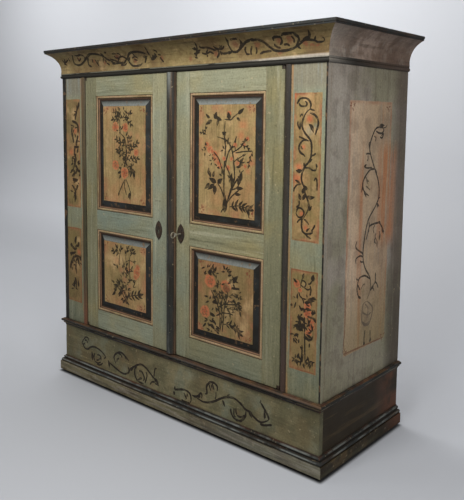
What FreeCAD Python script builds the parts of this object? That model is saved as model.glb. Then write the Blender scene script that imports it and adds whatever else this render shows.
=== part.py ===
import FreeCAD, Part
import os

Vector = FreeCAD.Vector
EAST = Vector(1, 0, 0)
BACKWARD = Vector(0, 1, 0)
UPWARD = Vector(0, 0, 1)

# Painted two-door cupboard in millimetres: x to the right, y towards the back, z up.
# The origin is on the floor, under the middle of the whole cupboard.

# Overall sizes
OVERALL_HEIGHT = 1910.0
CARCASS_WIDTH = 1780.0
CARCASS_DEPTH = 715.0
CORNICE_OVERHANG = 76.0

# Plinth
FLOOR_GAP = 13.0
PLINTH_HEIGHT = 277.0
PLINTH_BOARD = 28.0
CORNER_BLOCK = 70.0
CORNER_BLOCK_HEIGHT = 210.0
BASE_BAND_HEIGHT = 49.0
BASE_BAND_DEPTH = 26.0
BASE_ROLL_HEIGHT = 16.0
BASE_ROLL_SEAT = 17.0
BASE_ROLL_SWELL = 5.0
BASE_REED_HEIGHT = 12.0
BASE_REED_SEAT = 8.0
BASE_REED_SWELL = 4.0
BASE_FILLET = 4.0

# Waist moulding between plinth and carcass
WAIST_HEIGHT = 37.0
WAIST_DEPTH = 21.0
WAIST_COVE = 9.0
WAIST_COVE_HOLLOW = 2.0
WAIST_REED_HEIGHT = 8.0
WAIST_REED_SWELL = 3.0
WAIST_ROLL_SWELL = 6.5
WAIST_ROLL_STEP = 6.0
WAIST_FILLET = 3.0

# Carcass boards
PILASTER_WIDTH = 176.0
PILASTER_BOARD = 28.0
SIDE_BOARD = 24.0
SIDE_TONGUE = 8.0
BACK_BOARD = 16.0
BACK_BOARD_COUNT = 6
BACK_REBATE = 12.0
BACK_LAP = 10.0
FLOOR_BOARD = 24.0
FLOOR_BOARD_COUNT = 4
TOP_BOARD = 18.0
TOP_BOARD_COUNT = 4
REAR_RAIL_HEIGHT = 90.0
REAR_RAIL_BOARD = 26.0
CLEAT = 28.0
JAMB_BEAD_WIDTH = 31.0
JAMB_BEAD_RISE = 8.0
JAMB_BEAD_SHOULDER = 2.0

# Frieze and cornice
FRIEZE_HEIGHT = 140.0
FRIEZE_BEAD_HEIGHT = 18.0
FRIEZE_BEAD_RISE = 6.0
FRIEZE_FILLET_DEPTH = 6.0
FRIEZE_FILLET_HEIGHT = 10.0
COVE_DEPTH = 70.0
COVE_HOLLOW = 22.0
CAP_HEIGHT = 20.0
CAP_LOWER_STEP = 8.0
CAP_LAP = 12.0

# Shelves
SHELF_BOARD = 24.0
SHELF_HEIGHTS = (770.0, 1250.0)
SHELF_SETBACK = 75.0

# Doors
DOOR_BOARD = 28.0
DOOR_SIDE_GAP = 2.0
DOOR_TOP_GAP = 2.0
DOOR_BOTTOM_GAP = 5.0
DOOR_MEETING_GAP = 2.0
PARTING_X = -23.0
HINGE_STILE_WIDTH = 98.0
PANEL_FROM_CENTRE = 130.0
TOP_RAIL_HEIGHT = 103.0
LOCK_RAIL_HEIGHT = 110.0
LOCK_RAIL_MIDDLE = 958.0
BOTTOM_RAIL_HEIGHT = 108.0
TENON_LENGTH = 45.0
TENON_SHOULDER = 14.0
TENON_END_GAP = 2.0
PANEL_SETBACK = 12.0
PANEL_TONGUE = 8.0
PANEL_TONGUE_WIDTH = 10.0
PANEL_PLAY = 2.0
PANEL_BEVEL = 30.0
PANEL_FIELD_SETBACK = 3.0
PANEL_FIELD_SHOULDER = 1.5
MOULDING_WIDTH = 27.0
MOULDING_QUIRK = 2.0
MOULDING_BEAD_WIDTH = 12.0
MOULDING_BEAD_SWELL = 3.0
MOULDING_STEP = 5.5
MOULDING_FILLET = 2.5
MOULDING_HOLLOW = 2.0
MOULDING_INNER_EDGE = 3.0
COVER_BEAD_WIDTH = 52.0
COVER_BEAD_RISE = 21.0
COVER_BEAD_EDGE = 3.0
COVER_LIP_WIDTH = 10.0
COVER_LIP_RISE = 6.0

# Pivot hinges
PIVOT_INSET = 8.0
PIVOT_PIN_RADIUS = 5.0
PIVOT_PIN_LENGTH = 11.0
PIVOT_FIT = 0.05
PIVOT_FACE_GAP = 0.4
PIVOT_KNUCKLE_HEIGHT = 16.0
PIVOT_PLATE_LENGTH = 62.0
PIVOT_PLATE = 4.0
SOCKET_HALF_LENGTH = 18.0
SOCKET_DEPTH = 20.0
PIN_END_GAP = 1.5
PIN_HOLE_EASE = 0.8

# Lock, key and keyhole plates
LOCK_DROP = 3.0
LEFT_PLATE_X = -85.0
RIGHT_PLATE_X = 72.0
PLATE_HEIGHT = 100.0
PLATE_WIDTH = 48.0
PLATE_THICKNESS = 1.6
PLATE_RAISE = 1.2
PLATE_RIM = 4.0
KEY_SHANK_RADIUS = 4.0
KEY_FIT = 0.08
KEY_BIT_REACH = 15.0
KEY_BIT_THICKNESS = 3.2
KEY_BIT_LENGTH = 13.0
KEY_SHANK_OUT = 42.0
KEY_BOW_RADIUS = 13.5
KEY_BOW_BAR_RADIUS = 2.6
KEY_COLLAR_RADIUS = 7.0
KEY_COLLAR_LENGTH = 5.0
KEYHOLE_SLOT_EASE = 1.4
LOCK_CASE_WALL = 2.0
LOCK_CASE_DEPTH = 22.0
LOCK_CASE_HEIGHT = 80.0
LOCK_CASE_EDGE = 2.0
LOCK_CASE_PAST_KEY = 42.0
LOCK_GUIDE = 6.0
LOCK_GUIDE_FROM_KEY = 34.0
BOLT_DROP = 9.0
BOLT_HEIGHT = 16.0
BOLT_THICKNESS = 12.0
BOLT_TAIL = 22.0
BOLT_FIT = 0.5
BOLT_SETBACK = 5.0
TALON_LEFT = 7.5
TALON_RIGHT = 5.0
TALON_DEPTH = 7.5
KEEPER_LENGTH = 36.0
KEEPER_POCKET = 22.0
KEEPER_WALL = 4.0
KEEPER_FIT = 1.5

# Slide bolt inside the left door
SLIDE_BOLT_X = -70.0
SLIDE_BOLT_WIDTH = 12.0
SLIDE_BOLT_DEPTH = 8.0
SLIDE_BOLT_LENGTH = 166.0
SLIDE_BOLT_DROP = 6.0
SLIDE_BOLT_FIT = 0.3
SLIDE_PLATE = 3.0
SLIDE_PLATE_WIDTH = 40.0
SLIDE_PLATE_DROP = 18.0
SLIDE_STAPLE_WIDTH = 26.0
SLIDE_STAPLE_HEIGHT = 16.0
SLIDE_STAPLE_WALL = 4.0
SLIDE_STAPLE_INSET = 24.0
SLIDE_KNOB_RADIUS = 6.0
SLIDE_KNOB_LENGTH = 16.0

# Planes and levels worked out from the sizes above
FRONT_Y = (CORNICE_OVERHANG - CARCASS_DEPTH) / 2
BACK_Y = FRONT_Y + CARCASS_DEPTH
HALF_WIDTH = CARCASS_WIDTH / 2
PLINTH_TOP = FLOOR_GAP + PLINTH_HEIGHT
WAIST_TOP = PLINTH_TOP + WAIST_HEIGHT
CARCASS_TOP = OVERALL_HEIGHT - CAP_HEIGHT
FRIEZE_BOTTOM = CARCASS_TOP - FRIEZE_HEIGHT
PILASTER_INNER = HALF_WIDTH - PILASTER_WIDTH
BEAD_INNER = PILASTER_INNER - JAMB_BEAD_WIDTH
DOOR_EDGE = BEAD_INNER - DOOR_SIDE_GAP
DOOR_TOP = FRIEZE_BOTTOM - DOOR_TOP_GAP
DOOR_BOTTOM = WAIST_TOP + DOOR_BOTTOM_GAP
DOOR_BACK = FRONT_Y + DOOR_BOARD
PANEL_Y = FRONT_Y + PANEL_SETBACK
SIDE_INNER = HALF_WIDTH - SIDE_BOARD
PILASTER_BACK = FRONT_Y + PILASTER_BOARD
BACK_FACE = BACK_Y - BACK_BOARD
LOCK_HEIGHT = LOCK_RAIL_MIDDLE - LOCK_DROP
LEFT = -1
RIGHT = 1


def box(x_pair, y_pair, z_pair):
    x_low, x_high = sorted(x_pair)
    y_low, y_high = sorted(y_pair)
    z_low, z_high = sorted(z_pair)
    size = (x_high - x_low, y_high - y_low, z_high - z_low)
    return Part.makeBox(*size, Vector(x_low, y_low, z_low))


def rod(radius, foot, direction, length):
    return Part.makeCylinder(radius, length, foot, direction)


def profile_face(profile, place):
    # A step of two numbers is a straight line; a step of four is an arc through its first pair.
    edges = []
    here = place(*profile[0])
    for step in profile[1:] + profile[:1]:
        there = place(*step[-2:])
        if len(step) == 4:
            edges.append(Part.Arc(here, place(*step[:2]), there).toShape())
        else:
            edges.append(Part.LineSegment(here, there).toShape())
        here = there
    return Part.Face(Part.Wire(edges))


def curve(start, end, hollow):
    # An arc step that sinks to the left of the way from start to end, or swells when it is negative.
    chord = Vector(end[0] - start[0], end[1] - start[1], 0)
    across = Vector(-chord.y, chord.x, 0).normalize()
    middle = Vector(start[0], start[1], 0) + chord / 2 + across * hollow
    return (middle.x, middle.y) + end


def mitred_bar(profile, corner, along, side, up, length, start_slope, end_slope):
    # The profile lies in the side-up plane; each end is cut by a slope of its side distance.
    across = [step[index] for step in profile for index in range(0, len(step), 2)]
    low = min(across)
    high = max(across)
    reach = max(abs(low), abs(high)) + 1

    def place(side_mm, up_mm):
        return corner - along * reach + side * side_mm + up * up_mm

    bar = profile_face(profile, place).extrude(along * (length + 2 * reach))
    heights = [step[index] for step in profile for index in range(1, len(step), 2)]
    base = min(heights) - 1
    plan = [
        (start_slope * low, low),
        (length - end_slope * low, low),
        (length - end_slope * high, high),
        (start_slope * high, high),
    ]
    points = [corner + along * a + side * s + up * base for a, s in plan]
    prism = Part.Face(Part.makePolygon(points + points[:1])).extrude(up * (max(heights) + 1 - base))
    return bar.common(prism).Solids[0]


def wrap_round(profile):
    # One front bar and two returns, mitred at the front corners of the carcass.
    left_corner = Vector(-HALF_WIDTH, FRONT_Y, 0)
    right_corner = Vector(HALF_WIDTH, FRONT_Y, 0)
    front = mitred_bar(profile, left_corner, EAST, -BACKWARD, UPWARD, CARCASS_WIDTH, -1, -1)
    left = mitred_bar(profile, left_corner, BACKWARD, -EAST, UPWARD, CARCASS_DEPTH, -1, 0)
    right = mitred_bar(profile, right_corner, BACKWARD, EAST, UPWARD, CARCASS_DEPTH, -1, 0)
    return front, left, right


def plinth():
    side_x = HALF_WIDTH - PLINTH_BOARD
    front_y = FRONT_Y + PLINTH_BOARD
    back_y = BACK_Y - PLINTH_BOARD
    walls = (FLOOR_GAP, PLINTH_TOP)
    nodes = {}
    nodes["plinth_front"] = box((-HALF_WIDTH, HALF_WIDTH), (FRONT_Y, front_y), walls)
    nodes["plinth_left_side"] = box((-HALF_WIDTH, -side_x), (front_y, BACK_Y), walls)
    nodes["plinth_right_side"] = box((side_x, HALF_WIDTH), (front_y, BACK_Y), walls)
    floor_seat = WAIST_TOP - FLOOR_BOARD
    nodes["plinth_back"] = box((-side_x, side_x), (back_y, BACK_Y), (FLOOR_GAP, floor_seat))
    blocks = []
    for sign in (LEFT, RIGHT):
        x_pair = (sign * side_x, sign * (side_x - CORNER_BLOCK))
        for y_pair in ((front_y, front_y + CORNER_BLOCK), (back_y - CORNER_BLOCK, back_y)):
            blocks.append(box(x_pair, y_pair, (0, CORNER_BLOCK_HEIGHT)))
    nodes["corner_block_feet"] = Part.makeCompound(blocks)
    return nodes


def base_moulding():
    # A flat band, a ledge, a roll, and a smaller reed under a fillet.
    band_top = FLOOR_GAP + BASE_BAND_HEIGHT
    roll_foot = (BASE_ROLL_SEAT, band_top)
    roll_top = (BASE_ROLL_SEAT, band_top + BASE_ROLL_HEIGHT)
    reed_foot = (BASE_REED_SEAT, roll_top[1] + BASE_FILLET)
    reed_top = (BASE_REED_SEAT, reed_foot[1] + BASE_REED_HEIGHT)
    top = reed_top[1] + BASE_FILLET
    profile = [
        (0, FLOOR_GAP),
        (BASE_BAND_DEPTH, FLOOR_GAP),
        (BASE_BAND_DEPTH, band_top),
        roll_foot,
        curve(roll_foot, roll_top, -BASE_ROLL_SWELL),
        (BASE_REED_SEAT, roll_top[1]),
        reed_foot,
        curve(reed_foot, reed_top, -BASE_REED_SWELL),
        (BASE_FILLET, reed_top[1]),
        (BASE_FILLET, top),
        (0, top),
    ]
    names = ("base_moulding_front", "base_moulding_left", "base_moulding_right")
    return dict(zip(names, wrap_round(profile)))


def waist_moulding():
    # From the plinth up: a cove, a reed, a groove, a roll and a top fillet.
    roll_seat = WAIST_DEPTH - WAIST_ROLL_SWELL
    reed_seat = roll_seat - WAIST_ROLL_STEP
    cove_foot = (WAIST_FILLET, PLINTH_TOP)
    reed_foot = (reed_seat, PLINTH_TOP + WAIST_COVE)
    reed_top = (reed_seat, reed_foot[1] + WAIST_REED_HEIGHT)
    roll_foot = (roll_seat, reed_top[1] + WAIST_FILLET)
    roll_top = (roll_seat, WAIST_TOP - WAIST_FILLET)
    profile = [
        (-PLINTH_BOARD, PLINTH_TOP),
        cove_foot,
        curve(cove_foot, reed_foot, WAIST_COVE_HOLLOW),
        curve(reed_foot, reed_top, -WAIST_REED_SWELL),
        (reed_seat, roll_foot[1]),
        roll_foot,
        curve(roll_foot, roll_top, -WAIST_ROLL_SWELL),
        (roll_seat - WAIST_FILLET, roll_top[1]),
        (roll_seat - WAIST_FILLET, WAIST_TOP),
        (-PLINTH_BOARD, WAIST_TOP),
    ]
    front, left, right = wrap_round(profile)
    for sign in (LEFT, RIGHT):
        front = front.cut(socket_recess(sign, WAIST_TOP, -1))
    return {"waist_moulding_front": front, "waist_moulding_left": left, "waist_moulding_right": right}


def frieze_moulding():
    # A bead over the doors, a fillet, and the deep cove that carries the cap.
    bead_seat = FRIEZE_FILLET_DEPTH - FRIEZE_BEAD_RISE / 2
    bead_foot = (bead_seat, FRIEZE_BOTTOM)
    bead_top = (bead_seat, FRIEZE_BOTTOM + FRIEZE_BEAD_HEIGHT)
    cove_foot = (FRIEZE_FILLET_DEPTH, bead_top[1] + FRIEZE_FILLET_HEIGHT)
    profile = [
        (0, FRIEZE_BOTTOM),
        bead_foot,
        curve(bead_foot, bead_top, -FRIEZE_BEAD_RISE),
        (FRIEZE_FILLET_DEPTH, bead_top[1]),
        cove_foot,
        curve(cove_foot, (COVE_DEPTH, CARCASS_TOP), COVE_HOLLOW),
        (0, CARCASS_TOP),
    ]
    names = ("frieze_moulding_front", "frieze_moulding_left", "frieze_moulding_right")
    return dict(zip(names, wrap_round(profile)))


def cornice_cap():
    step_z = CARCASS_TOP + CAP_LOWER_STEP
    step_in = (COVE_DEPTH + CORNICE_OVERHANG) / 2
    profile = [
        (-CAP_LAP, CARCASS_TOP),
        (step_in, CARCASS_TOP),
        (step_in, step_z),
        (CORNICE_OVERHANG, step_z),
        (CORNICE_OVERHANG, OVERALL_HEIGHT),
        (-CAP_LAP, OVERALL_HEIGHT),
    ]
    names = ("cornice_cap_front", "cornice_cap_left", "cornice_cap_right")
    return dict(zip(names, wrap_round(profile)))


def board_row(count, x_pair, y_pair, z_pair, axis):
    # A row of equal boards side by side along x or y.
    low, high = (x_pair, y_pair)[axis]
    width = (high - low) / count
    boards = []
    for index in range(count):
        piece = (low + index * width, low + (index + 1) * width)
        boards.append(box(piece, y_pair, z_pair) if axis == 0 else box(x_pair, piece, z_pair))
    return boards


def back_boards():
    # Upright boards, half-lapped to each other, in the rebates of the two sides.
    edge = HALF_WIDTH - SIDE_BOARD + BACK_REBATE
    width = 2 * edge / BACK_BOARD_COUNT
    lap_y = BACK_FACE + BACK_BOARD / 2
    levels = (WAIST_TOP, CARCASS_TOP)
    boards = []
    for index in range(BACK_BOARD_COUNT):
        west = -edge + index * width
        east = west + width
        board = box((west, east), (BACK_FACE, BACK_Y), levels)
        if index > 0:
            board = board.fuse(box((west - BACK_LAP, west), (lap_y, BACK_Y), levels))
        if index < BACK_BOARD_COUNT - 1:
            board = board.cut(box((east - BACK_LAP, east), (lap_y, BACK_Y), levels))
        boards.append(board.removeSplitter().Solids[0])
    return Part.makeCompound(boards)


def carcass():
    nodes = {}
    levels = (WAIST_TOP, CARCASS_TOP)
    tongue_x = HALF_WIDTH - SIDE_BOARD / 2
    tenon_y = FRONT_Y + (PILASTER_BOARD - PANEL_TONGUE) / 2
    tenon_y_pair = (tenon_y, tenon_y + PANEL_TONGUE)
    tenon_z = (FRIEZE_BOTTOM + TENON_SHOULDER, CARCASS_TOP - TENON_SHOULDER)
    for sign, name in ((LEFT, "left"), (RIGHT, "right")):
        groove_x = (sign * (tongue_x - SIDE_TONGUE / 2), sign * (tongue_x + SIDE_TONGUE / 2))
        tongue = box(groove_x, (PILASTER_BACK - SIDE_TONGUE, PILASTER_BACK), levels)
        mortise_x = (sign * PILASTER_INNER, sign * (PILASTER_INNER + TENON_LENGTH + TENON_END_GAP))
        pilaster = box((sign * PILASTER_INNER, sign * HALF_WIDTH), (FRONT_Y, PILASTER_BACK), levels)
        pilaster = pilaster.cut(tongue).cut(box(mortise_x, tenon_y_pair, tenon_z))
        nodes[name + "_pilaster"] = pilaster
        side = box((sign * SIDE_INNER, sign * HALF_WIDTH), (PILASTER_BACK, BACK_Y), levels)
        rebate_x = (sign * SIDE_INNER, sign * (SIDE_INNER + BACK_REBATE))
        side = side.fuse(tongue).cut(box(rebate_x, (BACK_FACE, BACK_Y), levels))
        nodes[name + "_side"] = side.removeSplitter()
        nodes[name + "_jamb_bead"] = jamb_bead(sign)
    rail = box((-PILASTER_INNER, PILASTER_INNER), (FRONT_Y, PILASTER_BACK), (FRIEZE_BOTTOM, CARCASS_TOP))
    for sign in (LEFT, RIGHT):
        tenon_x = (sign * PILASTER_INNER, sign * (PILASTER_INNER + TENON_LENGTH))
        rail = rail.fuse(box(tenon_x, tenon_y_pair, tenon_z))
        rail = rail.cut(socket_recess(sign, FRIEZE_BOTTOM, 1))
    nodes["head_rail"] = rail.removeSplitter()
    rear_y = (BACK_FACE - REAR_RAIL_BOARD, BACK_FACE)
    rear_z = (CARCASS_TOP - REAR_RAIL_HEIGHT, CARCASS_TOP)
    nodes["rear_top_rail"] = box((-SIDE_INNER, SIDE_INNER), rear_y, rear_z)
    nodes["back_boards"] = back_boards()
    inside_x = HALF_WIDTH - PLINTH_BOARD
    floor_y = (FRONT_Y + PLINTH_BOARD, BACK_Y)
    floor_z = (WAIST_TOP - FLOOR_BOARD, WAIST_TOP)
    floor = board_row(FLOOR_BOARD_COUNT, (-inside_x, inside_x), floor_y, floor_z, 1)
    nodes["floor_boards"] = Part.makeCompound(floor)
    roof_x = HALF_WIDTH - CAP_LAP
    roof_y = (FRONT_Y + CAP_LAP, BACK_Y)
    roof_z = (CARCASS_TOP, CARCASS_TOP + TOP_BOARD)
    roof = board_row(TOP_BOARD_COUNT, (-roof_x, roof_x), roof_y, roof_z, 1)
    nodes["top_boards"] = Part.makeCompound(roof)
    return nodes


def jamb_bead(sign):
    shoulder_y = FRONT_Y + JAMB_BEAD_SHOULDER
    middle = (BEAD_INNER + PILASTER_INNER) / 2
    profile = [
        (BEAD_INNER, PILASTER_BACK),
        (PILASTER_INNER, PILASTER_BACK),
        (PILASTER_INNER, shoulder_y),
        (middle, FRONT_Y - JAMB_BEAD_RISE, BEAD_INNER, shoulder_y),
    ]

    def place(x, y):
        return Vector(sign * x, y, WAIST_TOP)

    return profile_face(profile, place).extrude(UPWARD * (FRIEZE_BOTTOM - WAIST_TOP))


def shelves_and_cleats():
    shelf_y = (FRONT_Y + SHELF_SETBACK, BACK_FACE)
    shelves = []
    cleats = []
    for height in SHELF_HEIGHTS:
        shelves.append(box((-SIDE_INNER, SIDE_INNER), shelf_y, (height, height + SHELF_BOARD)))
        for sign in (LEFT, RIGHT):
            cleat_x = (sign * (SIDE_INNER - CLEAT), sign * SIDE_INNER)
            cleats.append(box(cleat_x, shelf_y, (height - CLEAT, height)))
    floor_seat = WAIST_TOP - FLOOR_BOARD
    plinth_inside = HALF_WIDTH - PLINTH_BOARD
    front_y = FRONT_Y + PLINTH_BOARD
    front_cleat_y = (front_y, front_y + CLEAT)
    side_cleat_y = (front_y + CLEAT, BACK_Y - PLINTH_BOARD)
    cleat_z = (floor_seat - CLEAT, floor_seat)
    floor_cleats = [box((-plinth_inside, plinth_inside), front_cleat_y, cleat_z)]
    for sign in (LEFT, RIGHT):
        floor_cleats.append(box((sign * (plinth_inside - CLEAT), sign * plinth_inside), side_cleat_y, cleat_z))
    return {
        "shelves": Part.makeCompound(shelves),
        "shelf_cleats": Part.makeCompound(cleats),
        "floor_cleats": Part.makeCompound(floor_cleats),
    }


def pivot_point(sign, level):
    return Vector(sign * (DOOR_EDGE - PIVOT_INSET), FRONT_Y + PIVOT_INSET, level)


def socket_block(sign, level, way):
    centre = pivot_point(sign, level)
    x_pair = (centre.x - SOCKET_HALF_LENGTH, centre.x + SOCKET_HALF_LENGTH)
    return box(x_pair, (FRONT_Y, FRONT_Y + SOCKET_DEPTH), (level, level + way * PIVOT_PLATE))


def socket_recess(sign, level, way):
    # Room for a socket plate and for the end of the pin beyond it.
    deep = PIVOT_PIN_LENGTH + PIN_END_GAP
    hole = rod(PIVOT_PIN_RADIUS + PIN_HOLE_EASE, pivot_point(sign, level), UPWARD * way, deep)
    return socket_block(sign, level, way).fuse(hole)


def pivot_sockets():
    plates = []
    for sign in (LEFT, RIGHT):
        for level, way in ((WAIST_TOP, -1), (FRIEZE_BOTTOM, 1)):
            bore = rod(PIVOT_PIN_RADIUS + PIVOT_FIT, pivot_point(sign, level), UPWARD * way, PIVOT_PLATE)
            plates.append(socket_block(sign, level, way).cut(bore))
    return {"pivot_sockets": Part.makeCompound(plates)}


def pivot_iron(sign, door_level, frame_level, way):
    # A plate let into the door's end, with a round knuckle and a pin that enters the socket.
    face = frame_level - way * PIVOT_FACE_GAP
    foot = pivot_point(sign, door_level - way * PIVOT_KNUCKLE_HEIGHT)
    knuckle = rod(PIVOT_INSET, foot, UPWARD * way, abs(face - foot.z))
    pin = rod(PIVOT_PIN_RADIUS, pivot_point(sign, face), UPWARD * way, PIVOT_PIN_LENGTH)
    plate_x = (foot.x, foot.x - sign * PIVOT_PLATE_LENGTH)
    plate_y = (FRONT_Y + PIVOT_PLATE, foot.y + PIVOT_INSET)
    plate = box(plate_x, plate_y, (door_level - way * PIVOT_PLATE, door_level))
    return knuckle.fuse(pin).fuse(plate).removeSplitter()


def pivot_notch(sign, door_level, way):
    centre = pivot_point(sign, door_level)
    inner_y = centre.y + PIVOT_INSET
    knuckle_x = (centre.x - sign * PIVOT_INSET, sign * DOOR_EDGE)
    knuckle_z = (door_level - way * PIVOT_KNUCKLE_HEIGHT, door_level)
    notch = box(knuckle_x, (FRONT_Y, inner_y), knuckle_z)
    plate_x = (centre.x, centre.x - sign * PIVOT_PLATE_LENGTH)
    plate_z = (door_level - way * PIVOT_PLATE, door_level)
    return notch.fuse(box(plate_x, (FRONT_Y + PIVOT_PLATE, inner_y), plate_z))


def panel_levels():
    lock_rail_foot = LOCK_RAIL_MIDDLE - LOCK_RAIL_HEIGHT / 2
    lower = (DOOR_BOTTOM + BOTTOM_RAIL_HEIGHT, lock_rail_foot)
    upper = (lock_rail_foot + LOCK_RAIL_HEIGHT, DOOR_TOP - TOP_RAIL_HEIGHT)
    return lower, upper


def meeting_edge(sign):
    return PARTING_X + sign * DOOR_MEETING_GAP / 2


def grooves(x_pair, z_pair):
    # The slot all round a panel opening that takes the tongue of its panel.
    deep = PANEL_TONGUE_WIDTH + PANEL_PLAY
    x_low, x_high = sorted(x_pair)
    wide = (x_low - deep, x_high + deep)
    tall = (z_pair[0] - deep, z_pair[1] + deep)
    return box(wide, (PANEL_Y, PANEL_Y + PANEL_TONGUE), tall)


def raised_panel(x_pair, z_pair):
    # A tongue all round, a flat under the moulding, then a bevel that rises to the field.
    x_low, x_high = sorted(x_pair)
    z_low, z_high = z_pair
    tongue_x = (x_low - PANEL_TONGUE_WIDTH, x_high + PANEL_TONGUE_WIDTH)
    tongue_z = (z_low - PANEL_TONGUE_WIDTH, z_high + PANEL_TONGUE_WIDTH)
    plate = box(tongue_x, (PANEL_Y, PANEL_Y + PANEL_TONGUE), tongue_z)
    outer = MOULDING_WIDTH
    inner = MOULDING_WIDTH + PANEL_BEVEL
    field_y = FRONT_Y + PANEL_FIELD_SETBACK
    bevel_y = field_y + PANEL_FIELD_SHOULDER
    field_x = (x_low + inner, x_high - inner)
    field_z = (z_low + inner, z_high - inner)
    field = box(field_x, (field_y, bevel_y), field_z)
    bevel = Part.makeWedge(
        field_x[0], bevel_y, field_z[0], z_low + outer, x_low + outer,
        field_x[1], PANEL_Y, field_z[1], z_high - outer, x_high - outer,
    )
    return plate.fuse(bevel).fuse(field).removeSplitter()


def panel_moulding(x_pair, z_pair):
    # Four mitred lengths round one panel: a quirk, a bead, a step down and a hollow to the panel.
    x_low, x_high = sorted(x_pair)
    z_low, z_high = z_pair
    bead_start = (MOULDING_QUIRK, MOULDING_QUIRK)
    bead_end = (MOULDING_QUIRK + MOULDING_BEAD_WIDTH, MOULDING_QUIRK)
    hollow_start = (bead_end[0] + MOULDING_FILLET, MOULDING_STEP)
    hollow_end = (MOULDING_WIDTH, PANEL_SETBACK - MOULDING_INNER_EDGE)
    profile = [
        (0, MOULDING_QUIRK),
        bead_start,
        curve(bead_start, bead_end, -MOULDING_BEAD_SWELL),
        (bead_end[0], MOULDING_STEP),
        hollow_start,
        curve(hollow_start, hollow_end, MOULDING_HOLLOW),
        (MOULDING_WIDTH, PANEL_SETBACK),
        (0, PANEL_SETBACK),
    ]
    tall = z_high - z_low
    wide = x_high - x_low
    foot = Vector(x_low, FRONT_Y, z_low)
    far_foot = Vector(x_high, FRONT_Y, z_low)
    head = Vector(x_low, FRONT_Y, z_high)
    return [
        mitred_bar(profile, foot, UPWARD, EAST, BACKWARD, tall, 1, 1),
        mitred_bar(profile, far_foot, UPWARD, -EAST, BACKWARD, tall, 1, 1),
        mitred_bar(profile, foot, EAST, UPWARD, BACKWARD, wide, 1, 1),
        mitred_bar(profile, head, EAST, -UPWARD, BACKWARD, wide, 1, 1),
    ]


def hinge_stile(sign):
    stile = box((sign * (DOOR_EDGE - HINGE_STILE_WIDTH), sign * DOOR_EDGE), (FRONT_Y, DOOR_BACK),
                (DOOR_BOTTOM, DOOR_TOP))
    foot = pivot_point(sign, DOOR_BOTTOM)
    corner = box((foot.x, sign * DOOR_EDGE), (FRONT_Y, foot.y), (DOOR_BOTTOM, DOOR_TOP))
    corner = corner.cut(rod(PIVOT_INSET, foot, UPWARD, DOOR_TOP - DOOR_BOTTOM))
    stile = stile.cut(corner)
    stile = stile.cut(pivot_notch(sign, DOOR_BOTTOM, -1))
    return stile.cut(pivot_notch(sign, DOOR_TOP, 1))


def door(sign, name):
    hinge_inner = sign * (DOOR_EDGE - HINGE_STILE_WIDTH)
    meeting_inner = sign * PANEL_FROM_CENTRE
    opening_x = (hinge_inner, meeting_inner)
    lower, upper = panel_levels()
    slots = grooves(opening_x, lower).fuse(grooves(opening_x, upper))
    stiles = {
        "hinge_stile": hinge_stile(sign),
        "meeting_stile": box((meeting_edge(sign), meeting_inner), (FRONT_Y, DOOR_BACK), (DOOR_BOTTOM, DOOR_TOP)),
    }
    rail_levels = {
        "bottom_rail": (DOOR_BOTTOM, lower[0]),
        "lock_rail": (lower[1], upper[0]),
        "top_rail": (upper[1], DOOR_TOP),
    }
    nodes = {}
    for part, levels in rail_levels.items():
        tenon_z = (levels[0] + TENON_SHOULDER, levels[1] - TENON_SHOULDER)
        rail = box(opening_x, (FRONT_Y, DOOR_BACK), levels).cut(slots)
        x_low, x_high = sorted(opening_x)
        tenon_x = (x_low - TENON_LENGTH, x_high + TENON_LENGTH)
        mortise_x = (tenon_x[0] - TENON_END_GAP, tenon_x[1] + TENON_END_GAP)
        tenon_y = (PANEL_Y, PANEL_Y + PANEL_TONGUE)
        rail = rail.fuse(box(tenon_x, tenon_y, tenon_z)).removeSplitter()
        nodes[name + "_door_" + part] = rail
        for stile in stiles:
            stiles[stile] = stiles[stile].cut(box(mortise_x, tenon_y, tenon_z))
    for part, stile in stiles.items():
        nodes[name + "_door_" + part] = stile.cut(slots)
    nodes[name + "_door_lower_panel"] = raised_panel(opening_x, lower)
    nodes[name + "_door_upper_panel"] = raised_panel(opening_x, upper)
    strips = panel_moulding(opening_x, lower) + panel_moulding(opening_x, upper)
    nodes[name + "_door_panel_mouldings"] = Part.makeCompound(strips)
    irons = [pivot_iron(sign, DOOR_BOTTOM, WAIST_TOP, -1), pivot_iron(sign, DOOR_TOP, FRIEZE_BOTTOM, 1)]
    nodes[name + "_door_pivots"] = Part.makeCompound(irons)
    return nodes


def cover_strip():
    # A broad bead over the parting of the doors, with a flat lip along its right side.
    west = meeting_edge(RIGHT)
    bead_end = west + COVER_BEAD_WIDTH
    east = bead_end + COVER_LIP_WIDTH
    edge_y = FRONT_Y - COVER_BEAD_EDGE
    lip_y = FRONT_Y - COVER_LIP_RISE
    crown = ((west + bead_end) / 2, FRONT_Y - COVER_BEAD_RISE)
    profile = [
        (west, FRONT_Y),
        (east, FRONT_Y),
        (east, lip_y),
        (bead_end, lip_y),
        (bead_end, edge_y),
        crown + (west, edge_y),
    ]

    def place(x, y):
        return Vector(x, y, DOOR_BOTTOM)

    return profile_face(profile, place).extrude(UPWARD * (DOOR_TOP - DOOR_BOTTOM))


def keyhole(centre_x, from_y, to_y, ease):
    # A round hole for the shank and a slot below it for the bit.
    reach = KEY_BIT_REACH + KEYHOLE_SLOT_EASE
    half = KEY_BIT_THICKNESS / 2 + KEYHOLE_SLOT_EASE
    hole = rod(KEY_SHANK_RADIUS + ease, Vector(centre_x, from_y, LOCK_HEIGHT), BACKWARD, to_y - from_y)
    slot = box((centre_x - half, centre_x + half), (from_y, to_y), (LOCK_HEIGHT - reach, LOCK_HEIGHT))
    return hole.fuse(slot)


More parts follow.
